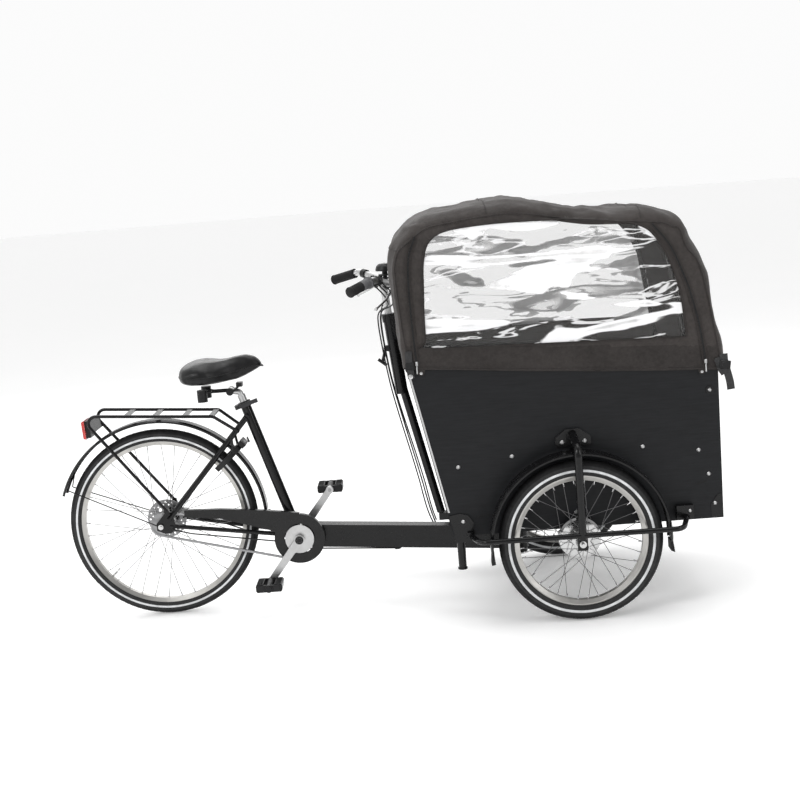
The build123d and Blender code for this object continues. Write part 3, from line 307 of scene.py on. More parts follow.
CAD = {
    "main_frame": "frame", "bb_cups": "steel", "seat_clamp": "blacksteel", "rear_axle": "chrome", "rear_fender": "frame", "rear_rack": "frame",
    "tail_light": "plastic", "chain_guard": "guard", "chain": "steel", "ring_lock_body": "plastic", "rear_brake_caliper": "silver",
    "frame_cables": "cable", "rear_tyre": "tyre", "rear_rim": "rim", "rear_hub": "chrome", "rear_sprocket": "steel", "crank_right": "silver",
    "crank_left": "silver", "chainring": "blacksteel", "crank_spindles": "steel", "pedal_right": "plastic", "pedal_left": "plastic",
    "seatpost": "silver", "saddle_cover": "saddle", "saddle_base": "plastic", "seat_clamp_lever": "blacksteel", "ring_lock_bolt": "steel",
    "chassis": "frame", "wheel_guards": "frame", "box_side_right": "box", "box_side_left": "box", "box_front": "box", "box_rear": "box",
    "box_floor": "box", "bench_riser": "box", "bench_seat": "box", "box_hardware": "silver", "canopy": "canvas", "canopy_windows": "vinyl",
    "canopy_poles": "frame", "canopy_straps": "webbing", "front_fenders": "frame", "front_brake_plates": "chrome", "steering_column": "frame",
    "handlebar": "silver", "grips": "rubber", "lever_mounts": "plastic", "bell": "plastic", "control_cables": "cable",
    "front_tyre_right": "tyre", "front_tyre_left": "tyre", "front_rim_right": "rim", "front_rim_left": "rim", "front_hub_right": "chrome",
    "front_hub_left": "chrome", "shift_grip": "greyplastic", "brake_lever_right": "silver", "brake_lever_left": "silver",
    "bell_lever": "plastic", "parking_lever": "frame",
}
for nm, key in CAD.items():
    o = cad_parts[nm]
    if not len(o.data.materials):
        o.data.materials.append(M[key])
    for sl in o.material_slots:
        sl.material = M[key]


def face_paint(nm, key, test):
    """Gives the faces of a CAD node whose centre passes test another material."""
    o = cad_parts[nm]
    o.data.materials.append(M[key])
    k = len(o.data.materials) - 1
    for p in o.data.polygons:
        c = p.center
        if test(c.x * 1000 + OX, c.y * 1000, c.z * 1000, p.normal):
            p.material_index = k


face_paint("tail_light", "lens", lambda x, y, z, n: x < -227.9 - 0.052 * (z - 640) and abs(y) > -1 and (x < -229.0 - 0.05 * (z - 637) + 1.4))
face_paint("crank_right", "guard", lambda x, y, z, n: math.hypot(x - 464, z - 244) < 12 and y < -70)
face_paint("front_fenders", "rubber", lambda x, y, z, n: z < 238.6 and (x < 1108 or x > 1662))
face_paint("rear_hub", "spoke", lambda x, y, z, n: math.hypot(x, z - 325) > 36 and abs(y) < 34)
for s_ in ("right", "left"):
    face_paint("front_hub_" + s_, "spoke", lambda x, y, z, n: math.hypot(x - 1385, z - 260) > 71)
face_paint("rear_hub", "steel", lambda x, y, z, n: 42.9 < y < 45.2)
face_paint("box_hardware", "frame", lambda x, y, z, n: (x > 1811 and 283 < z < 363 and abs(y) < 312.1) or (math.hypot(x - 1822, z - 699) < 13.2 and abs(y) < 312.1))

# ---------------------------------------------------------------- mesh helpers
def mesh(name, verts, faces, mats, body, idx=None, smooth=True):
    me = bpy.data.meshes.new(name)
    me.from_pydata([tuple(v) for v in verts], [], [tuple(int(i) for i in f) for f in faces])
    me.update()
    mats = mats if isinstance(mats, (list, tuple)) else [mats]
    for m in mats:
        me.materials.append(M[m])
    if idx is not None:
        me.polygons.foreach_set("material_index", [int(i) for i in idx])
    me.polygons.foreach_set("use_smooth", [smooth] * len(me.polygons))
    o = bpy.data.objects.new(name, me)
    SC.collection.objects.link(o)
    if body:
        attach(o, body)
    return o


class Acc:
    """Collects several shapes, in layout mm, into one piece."""

    def __init__(self):
        self.v, self.f, self.i = [], [], []

    def add(self, verts, faces, mi=0):
        k = len(self.v)
        self.v += [tuple(v) for v in verts]
        self.f += [tuple(q + k for q in f) for f in faces]
        self.i += [mi] * len(faces)

    def grid(self, rows, mi=0, close_u=False, close_v=False):
        """rows: a list of lists of points."""
        a, b = len(rows), len(rows[0])
        vs = [p for r in rows for p in r]
        fs = []
        for i in range(a if close_u else a - 1):
            for j in range(b if close_v else b - 1):
                i2, j2 = (i + 1) % a, (j + 1) % b
                fs.append((i * b + j, i * b + j2, i2 * b + j2, i2 * b + j))
        self.add(vs, fs, mi)

    def tube(self, pts, r, seg=14, mi=0, closed=False):
        pts = [Vector(p) for p in pts]
        n = len(pts)
        rs_ = r if hasattr(r, "__len__") else [r] * n
        rows = []
        t_prev, nrm = None, None
        for i, p in enumerate(pts):
            if closed:
                t = (pts[(i + 1) % n] - pts[i - 1]).normalized()
            else:
                t = (pts[min(i + 1, n - 1)] - pts[max(i - 1, 0)]).normalized()
            if nrm is None:
                nrm = t.cross(Vector((0.13, 0.31, 0.94))).normalized()
            else:
                nrm = (nrm - t * nrm.dot(t)).normalized()
            bn = t.cross(nrm)
            rows.append([tuple(p + (nrm * math.cos(2 * math.pi * k / seg) + bn * math.sin(2 * math.pi * k / seg)) * rs_[i]) for k in range(seg)])
        self.grid(rows, mi, close_u=closed, close_v=True)
        if not closed:
            self.add(rows[0], [tuple(range(seg))[::-1]], mi)
            self.add(rows[-1], [tuple(range(seg))], mi)

    def lathe(self, c, axis, prof, seg=64, mi=0, closed=False):
        """prof: (distance along the axis, radius)."""
        ax = Vector(axis).normalized()
        e1 = ax.cross(Vector((0.0, 0.02, 1.0))).normalized() if abs(ax.z) < 0.9 else ax.cross(Vector((1, 0, 0))).normalized()
        e2 = ax.cross(e1)
        c = Vector(c)
        rows = [[tuple(c + ax * d + (e1 * math.cos(2 * math.pi * k / seg) + e2 * math.sin(2 * math.pi * k / seg)) * r) for k in range(seg)] for d, r in prof]
        self.grid(rows, mi, close_u=closed, close_v=True)

    def brick(self, c, size, rot=None, bevel=1.0, mi=0):
        """A box with bevelled edges: size along its own axes, rot a 3x3 Matrix."""
        R = rot or Matrix.Identity(3)
        c = Vector(c)
        hx, hy, hz = (s / 2 for s in size)
        b = min(bevel, hx * 0.9, hy * 0.9, hz * 0.9)
        rows = []
        for z, k in ((-hz, b), (-hz + b, 0), (hz - b, 0), (hz, b)):
            ring = []
            for sx, sy in ((1, -1), (1, 1), (-1, 1), (-1, -1)):
                p = [(sx * (hx - k), sy * (hy - b - k * 0.3)), (sx * (hx - b - k * 0.3), sy * (hy - k))]
                if sx * sy > 0:
                    ring += p
                else:
                    ring += p[::-1]
            rows.append([tuple(c + R @ Vector((x, y, z))) for x, y in ring])
        self.grid(rows, mi, close_v=True)
        self.add(rows[0], [tuple(range(8))[::-1]], mi)
        self.add(rows[-1], [tuple(range(8))], mi)

    def make(self, name, mats, body, smooth=True):
        return mesh(name, [L(*p) for p in self.v], self.f, mats, body, self.i, smooth)


def soft_edges(o, angle=35):
    """Auto smooth: edges sharper than the angle stay sharp."""
    me = o.data
    me.update()
    import bmesh
    bm = bmesh.new()
    bm.from_mesh(me)
    bmesh.ops.recalc_face_normals(bm, faces=bm.faces)
    for e in bm.edges:
        if len(e.link_faces) == 2 and e.calc_face_angle(0) > math.radians(angle):
            e.smooth = False
    bm.to_mesh(me)
    bm.free()
    return o


def smooth_line(P, n, closed=False):
    """Catmull-Rom line through P with n points, evenly spaced by length."""
    P = [np.array(p, float) for p in P]
    m = len(P)
    pts = []
    for i in range(m if closed else m - 1):
        p0 = P[i - 1] if (i > 0 or closed) else P[0] * 2 - P[1]
        p1, p2 = P[i], P[(i + 1) % m]
        p3 = P[(i + 2) % m] if (i + 2 < m or closed) else P[-1] * 2 - P[-2]
        for k in range(24):
            t = k / 24.0
            pts.append(0.5 * (2 * p1 + (p2 - p0) * t + (2 * p0 - 5 * p1 + 4 * p2 - p3) * t * t + (3 * p1 - p0 - 3 * p2 + p3) * t ** 3))
    pts.append(P[0] if closed else P[-1])
    pts = np.array(pts)
    d = np.r_[0, np.cumsum(np.linalg.norm(np.diff(pts, axis=0), axis=1))]
    s = np.linspace(0, d[-1], n + 1 if closed else n)
    q = np.stack([np.interp(s, d, pts[:, k]) for k in range(pts.shape[1])], axis=1)
    return q[:-1] if closed else q


def nz(x, y, z, s=1.0, o=0.0):
    return noise.noise(Vector((x * s + o, y * s - o * 0.7, z * s + o * 1.3)))


def sstep(a, b, x):
    t = min(1.0, max(0.0, (x - a) / (b - a)))
    return t * t * (3 - 2 * t)


# ---------------------------------------------------------------- tyres
def tyre(name, node, c, y0, R, W, body, blocks):
    m = W / 2.0
    rc = R - m
    prof = []                                   # (y, r, stripe)
    K = 34
    for i in range(K + 1):
        a = math.radians(-138 + 276.0 * i / K)
        prof.append((m * math.sin(a), rc + m * math.cos(a), abs(a)))
    seg = blocks * 6
    rows, idx = [], []
    for j in range(seg):
        th = 2 * math.pi * j / seg
        ph = j % 6
        row = []
        for y, r, a in prof:
            da = math.degrees(a)
            d = 0.0
            if da < 58:                          # tread: centre rib and shoulder blocks
                g = abs(y) / m
                if 0.16 < g < 0.26:
                    d -= 1.3
                elif g >= 0.26:
                    sh = (ph + (0 if y > 0 else 3)) % 6
                    if sh in (0,):
                        d -= 1.5
                    if 0.50 < g < 0.58:
                        d -= 1.2
                elif ph == 0:
                    d -= 0.5
            elif 96 < da < 104:
                d += 0.25
            rr = r + (d - 0.2) * (math.cos(a))
            yy = y + (d * math.sin(a) * (1 if y > 0 else -1))
            row.append((c[0] + rr * math.cos(th), y0 + yy, c[1] + rr * math.sin(th)))
        rows.append(row)
    A = Acc()
    A.grid(rows, 0, close_u=True)
    n = len(prof) - 1
    for k in range(len(A.i)):
        j = k % n
        am = math.degrees((prof[j][2] + prof[j + 1][2]) / 2)
        A.i[k] = 2 if 92 < am < 103 else (1 if am > 62 else 0)
    o = A.make(name, ["tyre", "wall", "stripe"], body)
    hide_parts(node)
    return o


tyre("rear_tyre_tread", "rear_tyre", (0, 325), 0, 325, 47, "rear_wheel", 96)
tyre("front_tyre_right_tread", "front_tyre_right", (1385, 260), -372, 260, 56, "front_wheel_right", 74)
tyre("front_tyre_left_tread", "front_tyre_left", (1385, 260), 372, 260, 56, "front_wheel_left", 74)

# spoke nipples and valves
for nm, c, y0, rr, n, ph, body, yy in (("rear_nipples", (0, 325), 0, 270.9, 36, 37.0, "rear_wheel", (-0.8, -3.4, 0.8, 3.4)),
                                      ("front_nipples_right", (1385, 260), -372, 194.9, 36, 4.0, "front_wheel_right", None),
                                      ("front_nipples_left", (1385, 260), 372, 194.9, 36, 4.0, "front_wheel_left", None)):
    A = Acc()
    for k in range(n):
        a = math.radians(ph + 360.0 / n * k)
        if yy:
            s = 1 if k % 2 else -1
            y = s * (3.4 if (k // 2) % 2 else 0.8)
        else:
            s = -1 if y0 < 0 else 1
            inn = -s
            side = -1 if k % 2 == 0 else 1
            lead = (k // 2) % 2
            y = inn * (0.8 if lead else 4.4) if side == -s else -inn * (4.4 if lead else 0.8)
        p = (c[0] + rr * math.cos(a), y0 + y, c[1] + rr * math.sin(a))
        A.lathe(p, (-math.cos(a), 0, -math.sin(a)), [(-1, 2.4), (3, 2.4), (5, 1.9), (13, 1.7), (13.6, 1.1)], 10)
    va = math.radians(ph + 185.0)
    p = (c[0] + rr * math.cos(va), y0, c[1] + rr * math.sin(va))
    A.lathe(p, (-math.cos(va), 0, -math.sin(va)), [(-2, 3.2), (16, 3.2), (17, 4.2), (20, 4.2), (21, 2.4), (30, 2.4), (31, 3.4), (38, 3.4), (39, 0.1)], 14)
    A.make(nm, ["chrome"], body)

# ---------------------------------------------------------------- chain with single links
CT, RT, PT, CY = 19, 38, 12.7, -45.0
CR, RR = PT / 2 / math.sin(math.pi / CT), PT / 2 / math.sin(math.pi / RT)
c1, c2 = np.array([0.0, 325.0]), np.array([464.0, 244.0])
dv = c2 - c1
dist = np.linalg.norm(dv)
base = math.atan2(dv[1], dv[0])
th = math.acos((CR - RR) / dist)
# the loop: top run, round the chainring, bottom run, round the sprocket
p_top1, p_top2 = c1 + CR * np.array([math.cos(base + th), math.sin(base + th)]), c2 + RR * np.array([math.cos(base + th), math.sin(base + th)])
p_bot2, p_bot1 = c2 + RR * np.array([math.cos(base - th), math.sin(base - th)]), c1 + CR * np.array([math.cos(base - th), math.sin(base - th)])
run = np.linalg.norm(p_top2 - p_top1)
arc2, arc1 = RR * 2 * (math.pi - th), CR * 2 * th
arc2 = RR * (2 * th)
arc1 = CR * (2 * math.pi - 2 * th)
total = run * 2 + arc1 + arc2
nl = int(round(total / PT / 2)) * 2


def on_chain(s):
    s = s % total
    if s < run:
        return p_top1 + (p_top2 - p_top1) * (s / run), True
    s -= run
    if s < arc2:
        a = base + th - s / RR
        return c2 + RR * np.array([math.cos(a), math.sin(a)]), False
    s -= arc2
    if s < run:
        return p_bot2 + (p_bot1 - p_bot2) * (s / run), True
    s -= run
    a = base - th - s / CR
    return c1 + CR * np.array([math.cos(a), math.sin(a)]), False


A = Acc()
for k in range(nl):
    (a_, fa), (b_, fb) = on_chain(total * k / nl), on_chain(total * (k + 1) / nl)
    mid, d = (a_ + b_) / 2, (b_ - a_)
    ln = np.linalg.norm(d)
    ux, uz = d / ln
    vx, vz = -uz, ux
    outer = k % 2
    out_ = []
    for t in np.linspace(0, 2 * math.pi, 20, endpoint=False):
        cx = ln / 2 * (1 if math.cos(t) > 0 else -1)
        rr_ = 4.1
        px = cx + rr_ * math.cos(t)
        pz = rr_ * math.sin(t) * (0.80 if abs(math.cos(t)) < 0.32 else 1.0)
        out_.append((px, pz))
    for s in (-1, 1):
        y0, y1 = (s * 3.55, s * 4.35) if outer else (s * 2.75, s * 3.5)
        ring = [[(mid[0] + x * ux + z * vx, y, mid[1] + x * uz + z * vz) for x, z in out_] for y in (CY + y0, CY + y1)]
        A.grid(ring, 0, close_v=True)
        A.add(ring[0], [tuple(range(20))], 0)
        A.add(ring[1], [tuple(range(20))[::-1]], 0)
    for s in (-1, 1):
        A.lathe((a_[0], CY + s * 3.5, a_[1]), (0, s, 0), [(0, 1.9), (1.2, 1.9), (1.5, 1.3), (1.5, 0.01)], 10)
    if fa:
        A.lathe((a_[0], CY - 2.7, a_[1]), (0, 1, 0), [(0, 3.7), (5.4, 3.7)], 12)
chain = A.make("chain_links", ["steel"], "root")
soft_edges(chain)
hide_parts("chain")

# ---------------------------------------------------------------- saddle
PLAN = [(104, 4), (106, 34), (112, 62), (124, 88), (140, 103), (160, 112), (186, 114), (210, 107), (232, 92), (258, 70), (280, 53), (300, 43), (330, 34), (355, 29), (374, 22), (383, 13), (387, 3)]
TOP = [(104, 836), (112, 851), (126, 863), (156, 871), (193, 873), (237, 869), (262, 870), (290, 876), (335, 881), (362, 874), (378, 860), (387, 843)]
BOT = [(104, 822), (112, 808), (124, 801), (150, 796), (190, 795), (240, 797), (294, 803), (320, 810), (345, 820), (365, 828), (387, 839)]
A = Acc()
rows = []
NX, NT = 96, 72
for i in range(NX + 1):
    t = i / NX
    x = 104 + (387 - 104) * (0.5 - 0.5 * math.cos(math.pi * t))
    w = np.interp(x, [p[0] for p in PLAN], [p[1] for p in PLAN])
    zt = np.interp(x, [p[0] for p in TOP], [p[1] for p in TOP])
    zb = np.interp(x, [p[0] for p in BOT], [p[1] for p in BOT])
    row = []
    for k in range(NT):
        a = 2 * math.pi * k / NT
        ca, sa = math.cos(a), math.sin(a)
        y = w * math.copysign(abs(ca) ** 0.72, ca)
        if sa >= 0:                       # top: crowned, with a shallow channel down the middle at the back
            h = zt - (zt - (zt * 0.42 + zb * 0.58)) * (1 - abs(sa) ** 0.80)
            ch = 3.2 * math.exp(-(y / 20.0) ** 2) * sstep(118, 160, x) * (1 - sstep(250, 320, x)) * abs(sa)
            h -= ch
            dome = 5.0 * (1 - min(1, abs(y) / max(w, 1)) ** 2) * (1 - sstep(150, 300, x) * 0.6)
            h += dome * 0.4 - 1.5
        else:
            h = zb + ((zt * 0.42 + zb * 0.58) - zb) * (1 - abs(sa) ** 0.55)
        row.append((x, y, h))
    rows.append(row)
A.grid(rows, 0, close_v=True)
n0 = len(A.v)
A.add([rows[0][k] for k in range(NT)], [tuple(range(NT))[::-1]], 0)
A.add([rows[-1][k] for k in range(NT)], [tuple(range(NT))], 0)
sad = A.make("saddle_pad", ["saddle"], None)


def puff(o, voxel, pressure, cap, frames=20, shrink=0.0):
    """Stuffed look: voxel remesh, cloth under pressure without gravity, movement capped, applied, subdivided once."""
    dg = bpy.context.evaluated_depsgraph_get()
    r = o.modifiers.new("remesh", "REMESH")
    r.mode, r.voxel_size, r.use_smooth_shade = "VOXEL", voxel, True
    s = o.modifiers.new("smooth", "SMOOTH")
    s.iterations, s.factor = 5, 0.5
    me = bpy.data.meshes.new_from_object(o.evaluated_get(bpy.context.evaluated_depsgraph_get()))
    o.modifiers.clear()
    mats = list(o.data.materials)
    o.data = me
    me.materials.clear()
    for m_ in mats:
        me.materials.append(m_)
    start = np.empty(len(me.vertices) * 3)
    me.vertices.foreach_get("co", start)
    start = start.reshape(-1, 3)
    c = o.modifiers.new("cloth", "CLOTH")
    c.settings.use_pressure = True
    c.settings.uniform_pressure_force = pressure
    c.settings.effector_weights.gravity = 0
    c.settings.quality = 5
    c.collision_settings.use_collision = False
    g = o.vertex_groups.new(name="pin")
    zmin = start[:, 2].min()
    g.add([int(i) for i in np.where(start[:, 2] < zmin + 0.012)[0]], 1.0, "REPLACE")
    c.settings.vertex_group_mass = "pin"
    for f in range(1, frames + 1):
        SC.frame_set(f)
    ev = o.evaluated_get(bpy.context.evaluated_depsgraph_get())
    me2 = bpy.data.meshes.new_from_object(ev)
    end = np.empty(len(me2.vertices) * 3)
    me2.vertices.foreach_get("co", end)
    end = end.reshape(-1, 3)
    d = end - start
    ln = np.linalg.norm(d, axis=1, keepdims=True)
    d = d * np.minimum(1.0, cap / np.maximum(ln, 1e-9))
    o.modifiers.clear()
    o.vertex_groups.clear()
    me.vertices.foreach_set("co", (start + d).reshape(-1))
    me.update()
    SC.frame_set(1)
    sub = o.modifiers.new("sub", "SUBSURF")
    sub.levels = sub.render_levels = 1
    me3 = bpy.data.meshes.new_from_object(o.evaluated_get(bpy.context.evaluated_depsgraph_get()))
    o.modifiers.clear()
    o.data = me3
    me3.polygons.foreach_set("use_smooth", [True] * len(me3.polygons))
    return o


puff(sad, 0.005, 4.0, 0.004)
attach(sad, "saddle")
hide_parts("saddle_cover")
# sewn piping round the saddle's edge
A = Acc()
half = []
for x, w in PLAN:
    zt = np.interp(x, [p[0] for p in TOP], [p[1] for p in TOP])
    zb = np.interp(x, [p[0] for p in BOT], [p[1] for p in BOT])
    half.append((x, w * 0.985, zt * 0.40 + zb * 0.60))
loop = half + [(x, -y, z) for x, y, z in reversed(half)]
A.tube([tuple(p) for p in smooth_line(loop, 200, True)], 1.9, 8, 0, closed=True)
A.make("saddle_piping", ["saddle"], "saddle")

# ---------------------------------------------------------------- canopy: one curved sheet with sewn windows
W2 = 316.0
SIL = [(863, 832), (850, 960), (841, 1100), (841, 1166), (860, 1232), (899, 1278), (960, 1312), (1052, 1326), (1144, 1336), (1228, 1339), (1311, 1329),
       (1415, 1308), (1483, 1296), (1582, 1289), (1690, 1277), (1731, 1265), (1763, 1241), (1786, 1190), (1820, 1124), (1845, 1015), (1862, 910), (1875, 830), (1884, 764)]
NJ = 300
S = smooth_line(SIL, NJ)
T = np.gradient(S, axis=0)
T /= np.linalg.norm(T, axis=1, keepdims=True)
Nrm = np.stack([-T[:, 1], T[:, 0]], axis=1)            # outward in x, z
if Nrm[NJ // 2, 1] < 0:
    Nrm = -Nrm
roofy = np.clip(Nrm[:, 1], 0, 1)
Dj = 24 + 24 * np.array([sstep(0.1, 0.8, v) for v in roofy])


def fold(x, y, z, side):
    """Outward movement of the cloth, mm: slack between the poles, gathers at the corners, small creases."""
    top = sstep(1180, 1290, z)
    d = 5.5 * nz(x, y, z, 0.0052, 3.1) + 2.6 * nz(x, y, z, 0.015, 7.7) + 0.9 * nz(x, y, z, 0.05, 1.7)
    rg = abs(nz(x * 0.55 + z * 0.8, y, z * 0.5 - x * 0.35, 0.0105, 6.0))
    d += 5.0 * max(0.0, 0.22 - rg) / 0.22 * (0.35 + 0.65 * sstep(1150, 1260, z)) - 1.0
    # long soft folds across the roof, gathered at the rear pole
    d += top * 4.5 * (1 - abs(2 * ((nz(x * 0.9 + 0.35 * y, y * 0.25, 0, 0.012, 5.0) + 0.5) % 1.0) - 1)) - top * 2.2
    # upright folds on the rear corner and the front
    rear = 1 - sstep(880, 960, x)
    front = sstep(1690, 1790, x)
    u = y * 0.052 + z * 0.006 + 2.2 * nz(x, y, z, 0.006, 9.0)
    d += rear * 2.6 * math.sin(u * 1.7) * (1 - top * 0.5)
    d += front * 3.4 * math.sin(z * 0.031 + y * 0.02 + 3.0 * nz(x, y, z, 0.007, 2.0))
    # diagonal pull lines below the roof's edge
    e = sstep(1150, 1260, z) * (1 - sstep(1290, 1320, z))
    d += e * 2.4 * math.sin((x * 0.040 - z * 0.055) + 3.5 * nz(x, y, z, 0.008, 4.0))
    return d


YV = [-1, -.9985, -.994, -.986, -.975, -.96, -.94, -.915, -.885, -.85, -.81, -.765, -225 / 316., -.66, -190 / 316., -.55, -.49, -.43, -.37, -.31, -.25, -.19, -.13, -.065, 0]
YV = YV + [-v for v in reversed(YV[:-1])]
NV = len(YV)


def strip_pt(j, v, extra=0.0):
    p = 12 - 5 * sstep(0.1, 0.8, roofy[j])
    d = Dj[j] * (1 - math.sqrt(max(0.0, 1 - abs(v) ** p)))
    x, z = S[j] - Nrm[j] * d
    y = W2 * v
    f = fold(x, y, z, 0) * (1 - 0.85 * abs(v) ** 30)
    # in the middle of the bays the roof hangs a little between the poles
    sag = roofy[j] ** 2 * (1 - abs(v) ** 4) * 5.0 * math.sin(math.pi * min(1, max(0, (x - 905) / 320.0))) * (1 if x < 1225 else 0)
    sag += roofy[j] ** 2 * (1 - abs(v) ** 4) * 9.0 * math.sin(math.pi * min(1, max(0, (x - 1225) / 480.0))) * (1 if x >= 1225 else 0)
    f = f - sag + extra
    nx_, nz_ = Nrm[j]
    sy = sstep(0.93, 1.0, abs(v)) * (1 if v > 0 else -1)
    n = Vector((nx_ * (1 - abs(sy) * 0.7), sy, nz_ * (1 - abs(sy) * 0.7))).normalized()
    return (x + n.x * f, y + n.y * f, z + n.z * f)


A = Acc()
rows = [[strip_pt(j, v) for v in YV] for j in range(NJ)]
base_i = len(A.v)
vs = [p for r in rows for p in r]
fs, mi = [], []
for j in range(NJ - 1):
    xm, zm = (S[j] + S[j + 1]) / 2
    for k in range(NV - 1):
        ym = (YV[k] + YV[k + 1]) / 2 * W2
        if xm > 1700 and 880 < zm < 1120 and abs(ym) < 225:
            continue                                     # front window
        if xm < 900 and 900 < zm < 1150 and abs(ym) < 190:
            continue                                     # rear window
        fs.append((j * NV + k, j * NV + k + 1, (j + 1) * NV + k + 1, (j + 1) * NV + k))
A.add(vs, fs, 0)

WIN = [(950, 899), (1300, 888), (1600, 880), (1740, 876), (1752, 884), (1749, 920), (1741, 1000), (1722, 1080), (1694, 1148), (1662, 1200), (1632, 1224), (1580, 1240), (1500, 1252),
       (1400, 1262), (1321, 1266), (1200, 1268), (1100, 1264), (1030, 1256), (990, 1240), (966, 1212), (953, 1160), (948, 1080), (944, 1000), (944, 920)]
WC = np.array([1345.0, 1075.0])
wl = smooth_line(WIN, 900, True)
wang = np.arctan2(wl[:, 1] - WC[1], wl[:, 0] - WC[0])
wrad = np.linalg.norm(wl - WC, axis=1)
o_ = np.argsort(wang)
wang, wrad = wang[o_], wrad[o_]


def win_r(a, grow=0.0):
    return np.interp(a, wang, wrad, period=2 * math.pi) + grow


NH = 110
for s in (-1, 1):
    k_edge = 0 if s < 0 else NV - 1
    outer = [rows[j][k_edge] for j in range(NJ)]
    a_, b_ = np.array(outer[-1]), np.array(outer[0])
    for q in range(1, NH):
        t = q / NH
        p = a_ + (b_ - a_) * t
        p[2] -= 5 * math.sin(math.pi * t) - 2.0 * nz(p[0], 0, 0, 0.012, 8.0)
        outer.append(tuple(p))
    NO = len(outer)
    ringrows = [outer]
    RR_ = 13
    for r in range(1, RR_ + 1):
        t = r / RR_
        row = []
        for i, p in enumerate(outer):
            d = np.array([p[0] - WC[0], p[2] - WC[1]])
            a = math.atan2(d[1], d[0])
            ro, ri = np.linalg.norm(d), float(win_r(a))
            ri = min(ri, ro - 6)
            R_ = ro + (ri - ro) * t
            x, z = WC[0] + math.cos(a) * R_, WC[1] + math.sin(a) * R_
            f = fold(x, s * W2, z, s) * 0.75 * min(1.0, 3.2 * t) * (1 - 0.6 * sstep(0.8, 1.0, t))
            hem = 1.2 * sstep(0, 3, 72 - (z - (838 - (x - 861) * 0.0724)))       # doubled band along the hem
            bead = 1.6 * math.exp(-((t - 0.965) * 26) ** 2)                          # turned edge round the window
            y = p[1] * (1 - t) + s * (W2 + 1.5) * t + s * (f + hem + bead)
            row.append((x, y, z))
        ringrows.append(row)
    k0 = len(A.v)
    vs = [p for r in ringrows for p in r]
    fs, mm = [], []
    for r in range(RR_):
        for i in range(NO):
            i2 = (i + 1) % NO
            q = (r * NO + i, r * NO + i2, (r + 1) * NO + i2, (r + 1) * NO + i)
            fs.append(q if s > 0 else q[::-1])
            c = np.mean([vs[t_] for t_ in q], axis=0)
            mm.append(1 if c[2] - (838 - (c[0] - 861) * 0.0724) < 72 else 0)
    A.add(vs, fs, 0)
    A.i[-len(fs):] = mm
can = A.make("canopy_cloth", ["canvas", "hem"], None)
import bmesh

bm = bmesh.new()
bm.from_mesh(can.data)
bmesh.ops.remove_doubles(bm, verts=bm.verts, dist=0.0002)
bmesh.ops.recalc_face_normals(bm, faces=bm.faces)
bm.to_mesh(can.data)
bm.free()
md = can.modifiers.new("sub", "SUBSURF")
md.levels = md.render_levels = 1
me_ = bpy.data.meshes.new_from_object(can.evaluated_get(bpy.context.evaluated_depsgraph_get()))
can.modifiers.clear()
can.data = me_
me_.polygons.foreach_set("use_smooth", [True] * len(me_.polygons))
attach(can, "cargo")
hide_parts("canopy")

# clear windows: creased sheets behind the cloth's edges
def crease(x, z, o):
    h = 0.0
    for i in range(9):
        sl = 0.24 + 0.10 * math.sin(i * 2.1 + o)
        z0 = 905 + i * 42 + 14 * math.sin(i * 1.7 + o)
        dz = z - (z0 + sl * (x - 1350) + 16 * nz(x, 0, i * 40.0, 0.006, o))
        ln = 1.0 - min(1, abs(x - (1180 + 130 * math.sin(i * 1.3 + o))) / 430.0)
        h += 4.2 * ln * math.exp(-(dz / 11.0) ** 2) - 3.0 * ln * math.exp(-((dz - 18) / 12.0) ** 2)
    return h + 6.0 * nz(x, z, 0, 0.0045, o) + 1.5 * nz(x * 0.6, z * 1.8, 0, 0.016, o + 2)


wobs = []
for s, nm in ((-1, "right"), (1, "left")):
    A = Acc()
    xs, zs = np.linspace(930, 1768, 150), np.linspace(862, 1284, 84)
    ids, vs, fs = {}, [], []
    for i, x in enumerate(xs):
        for k, z in enumerate(zs):
            d = np.array([x - WC[0], z - WC[1]])
            r, a = np.linalg.norm(d), math.atan2(d[1], d[0])
            if r < float(win_r(a)) + 13:
                edge = 1 - sstep(-70, 0, r - float(win_r(a)))
                ids[(i, k)] = len(vs)
                vs.append((x, s * (W2 - 1.2 + crease(x, z, 1.0 if s < 0 else 4.0) * edge * 0.9 + edge * 1.5), z))
    for (i, k) in ids:
        q = [(i, k), (i + 1, k), (i + 1, k + 1), (i, k + 1)]
        if all(t in ids for t in q):
            fs.append([ids[t] for t in q])
    A.add(vs, fs, 0)
    w = A.make("window_" + nm, ["vinyl"], "cargo")
    wobs.append(w)
for nm, jt, zr, hw in (("window_front", [j for j in range(NJ) if S[j][0] > 1700 and 868 < S[j][1] < 1132], None, 236), ("window_rear", [j for j in range(NJ) if S[j][0] < 900 and 888 < S[j][1] < 1162], None, 201)):
    A = Acc()
    vv = np.linspace(-hw / W2, hw / W2, 60)
    rws = []
    for j in jt:
        rws.append([])
        for v in vv:
            x, y, z = strip_pt(j, v, -1.6)
            e_ = min(1.0, (hw / W2 - abs(v)) * 14)
            c_ = 1.6 * nz(y, z, 0, 0.018, 3.0) * e_
            rws[-1].append((x + Nrm[j][0] * c_, y, z + Nrm[j][1] * c_))
    A.grid(rws, 0)
    w = A.make(nm, ["vinyl"], "cargo")
    wobs.append(w)
for w in wobs:
    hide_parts("canopy_windows")

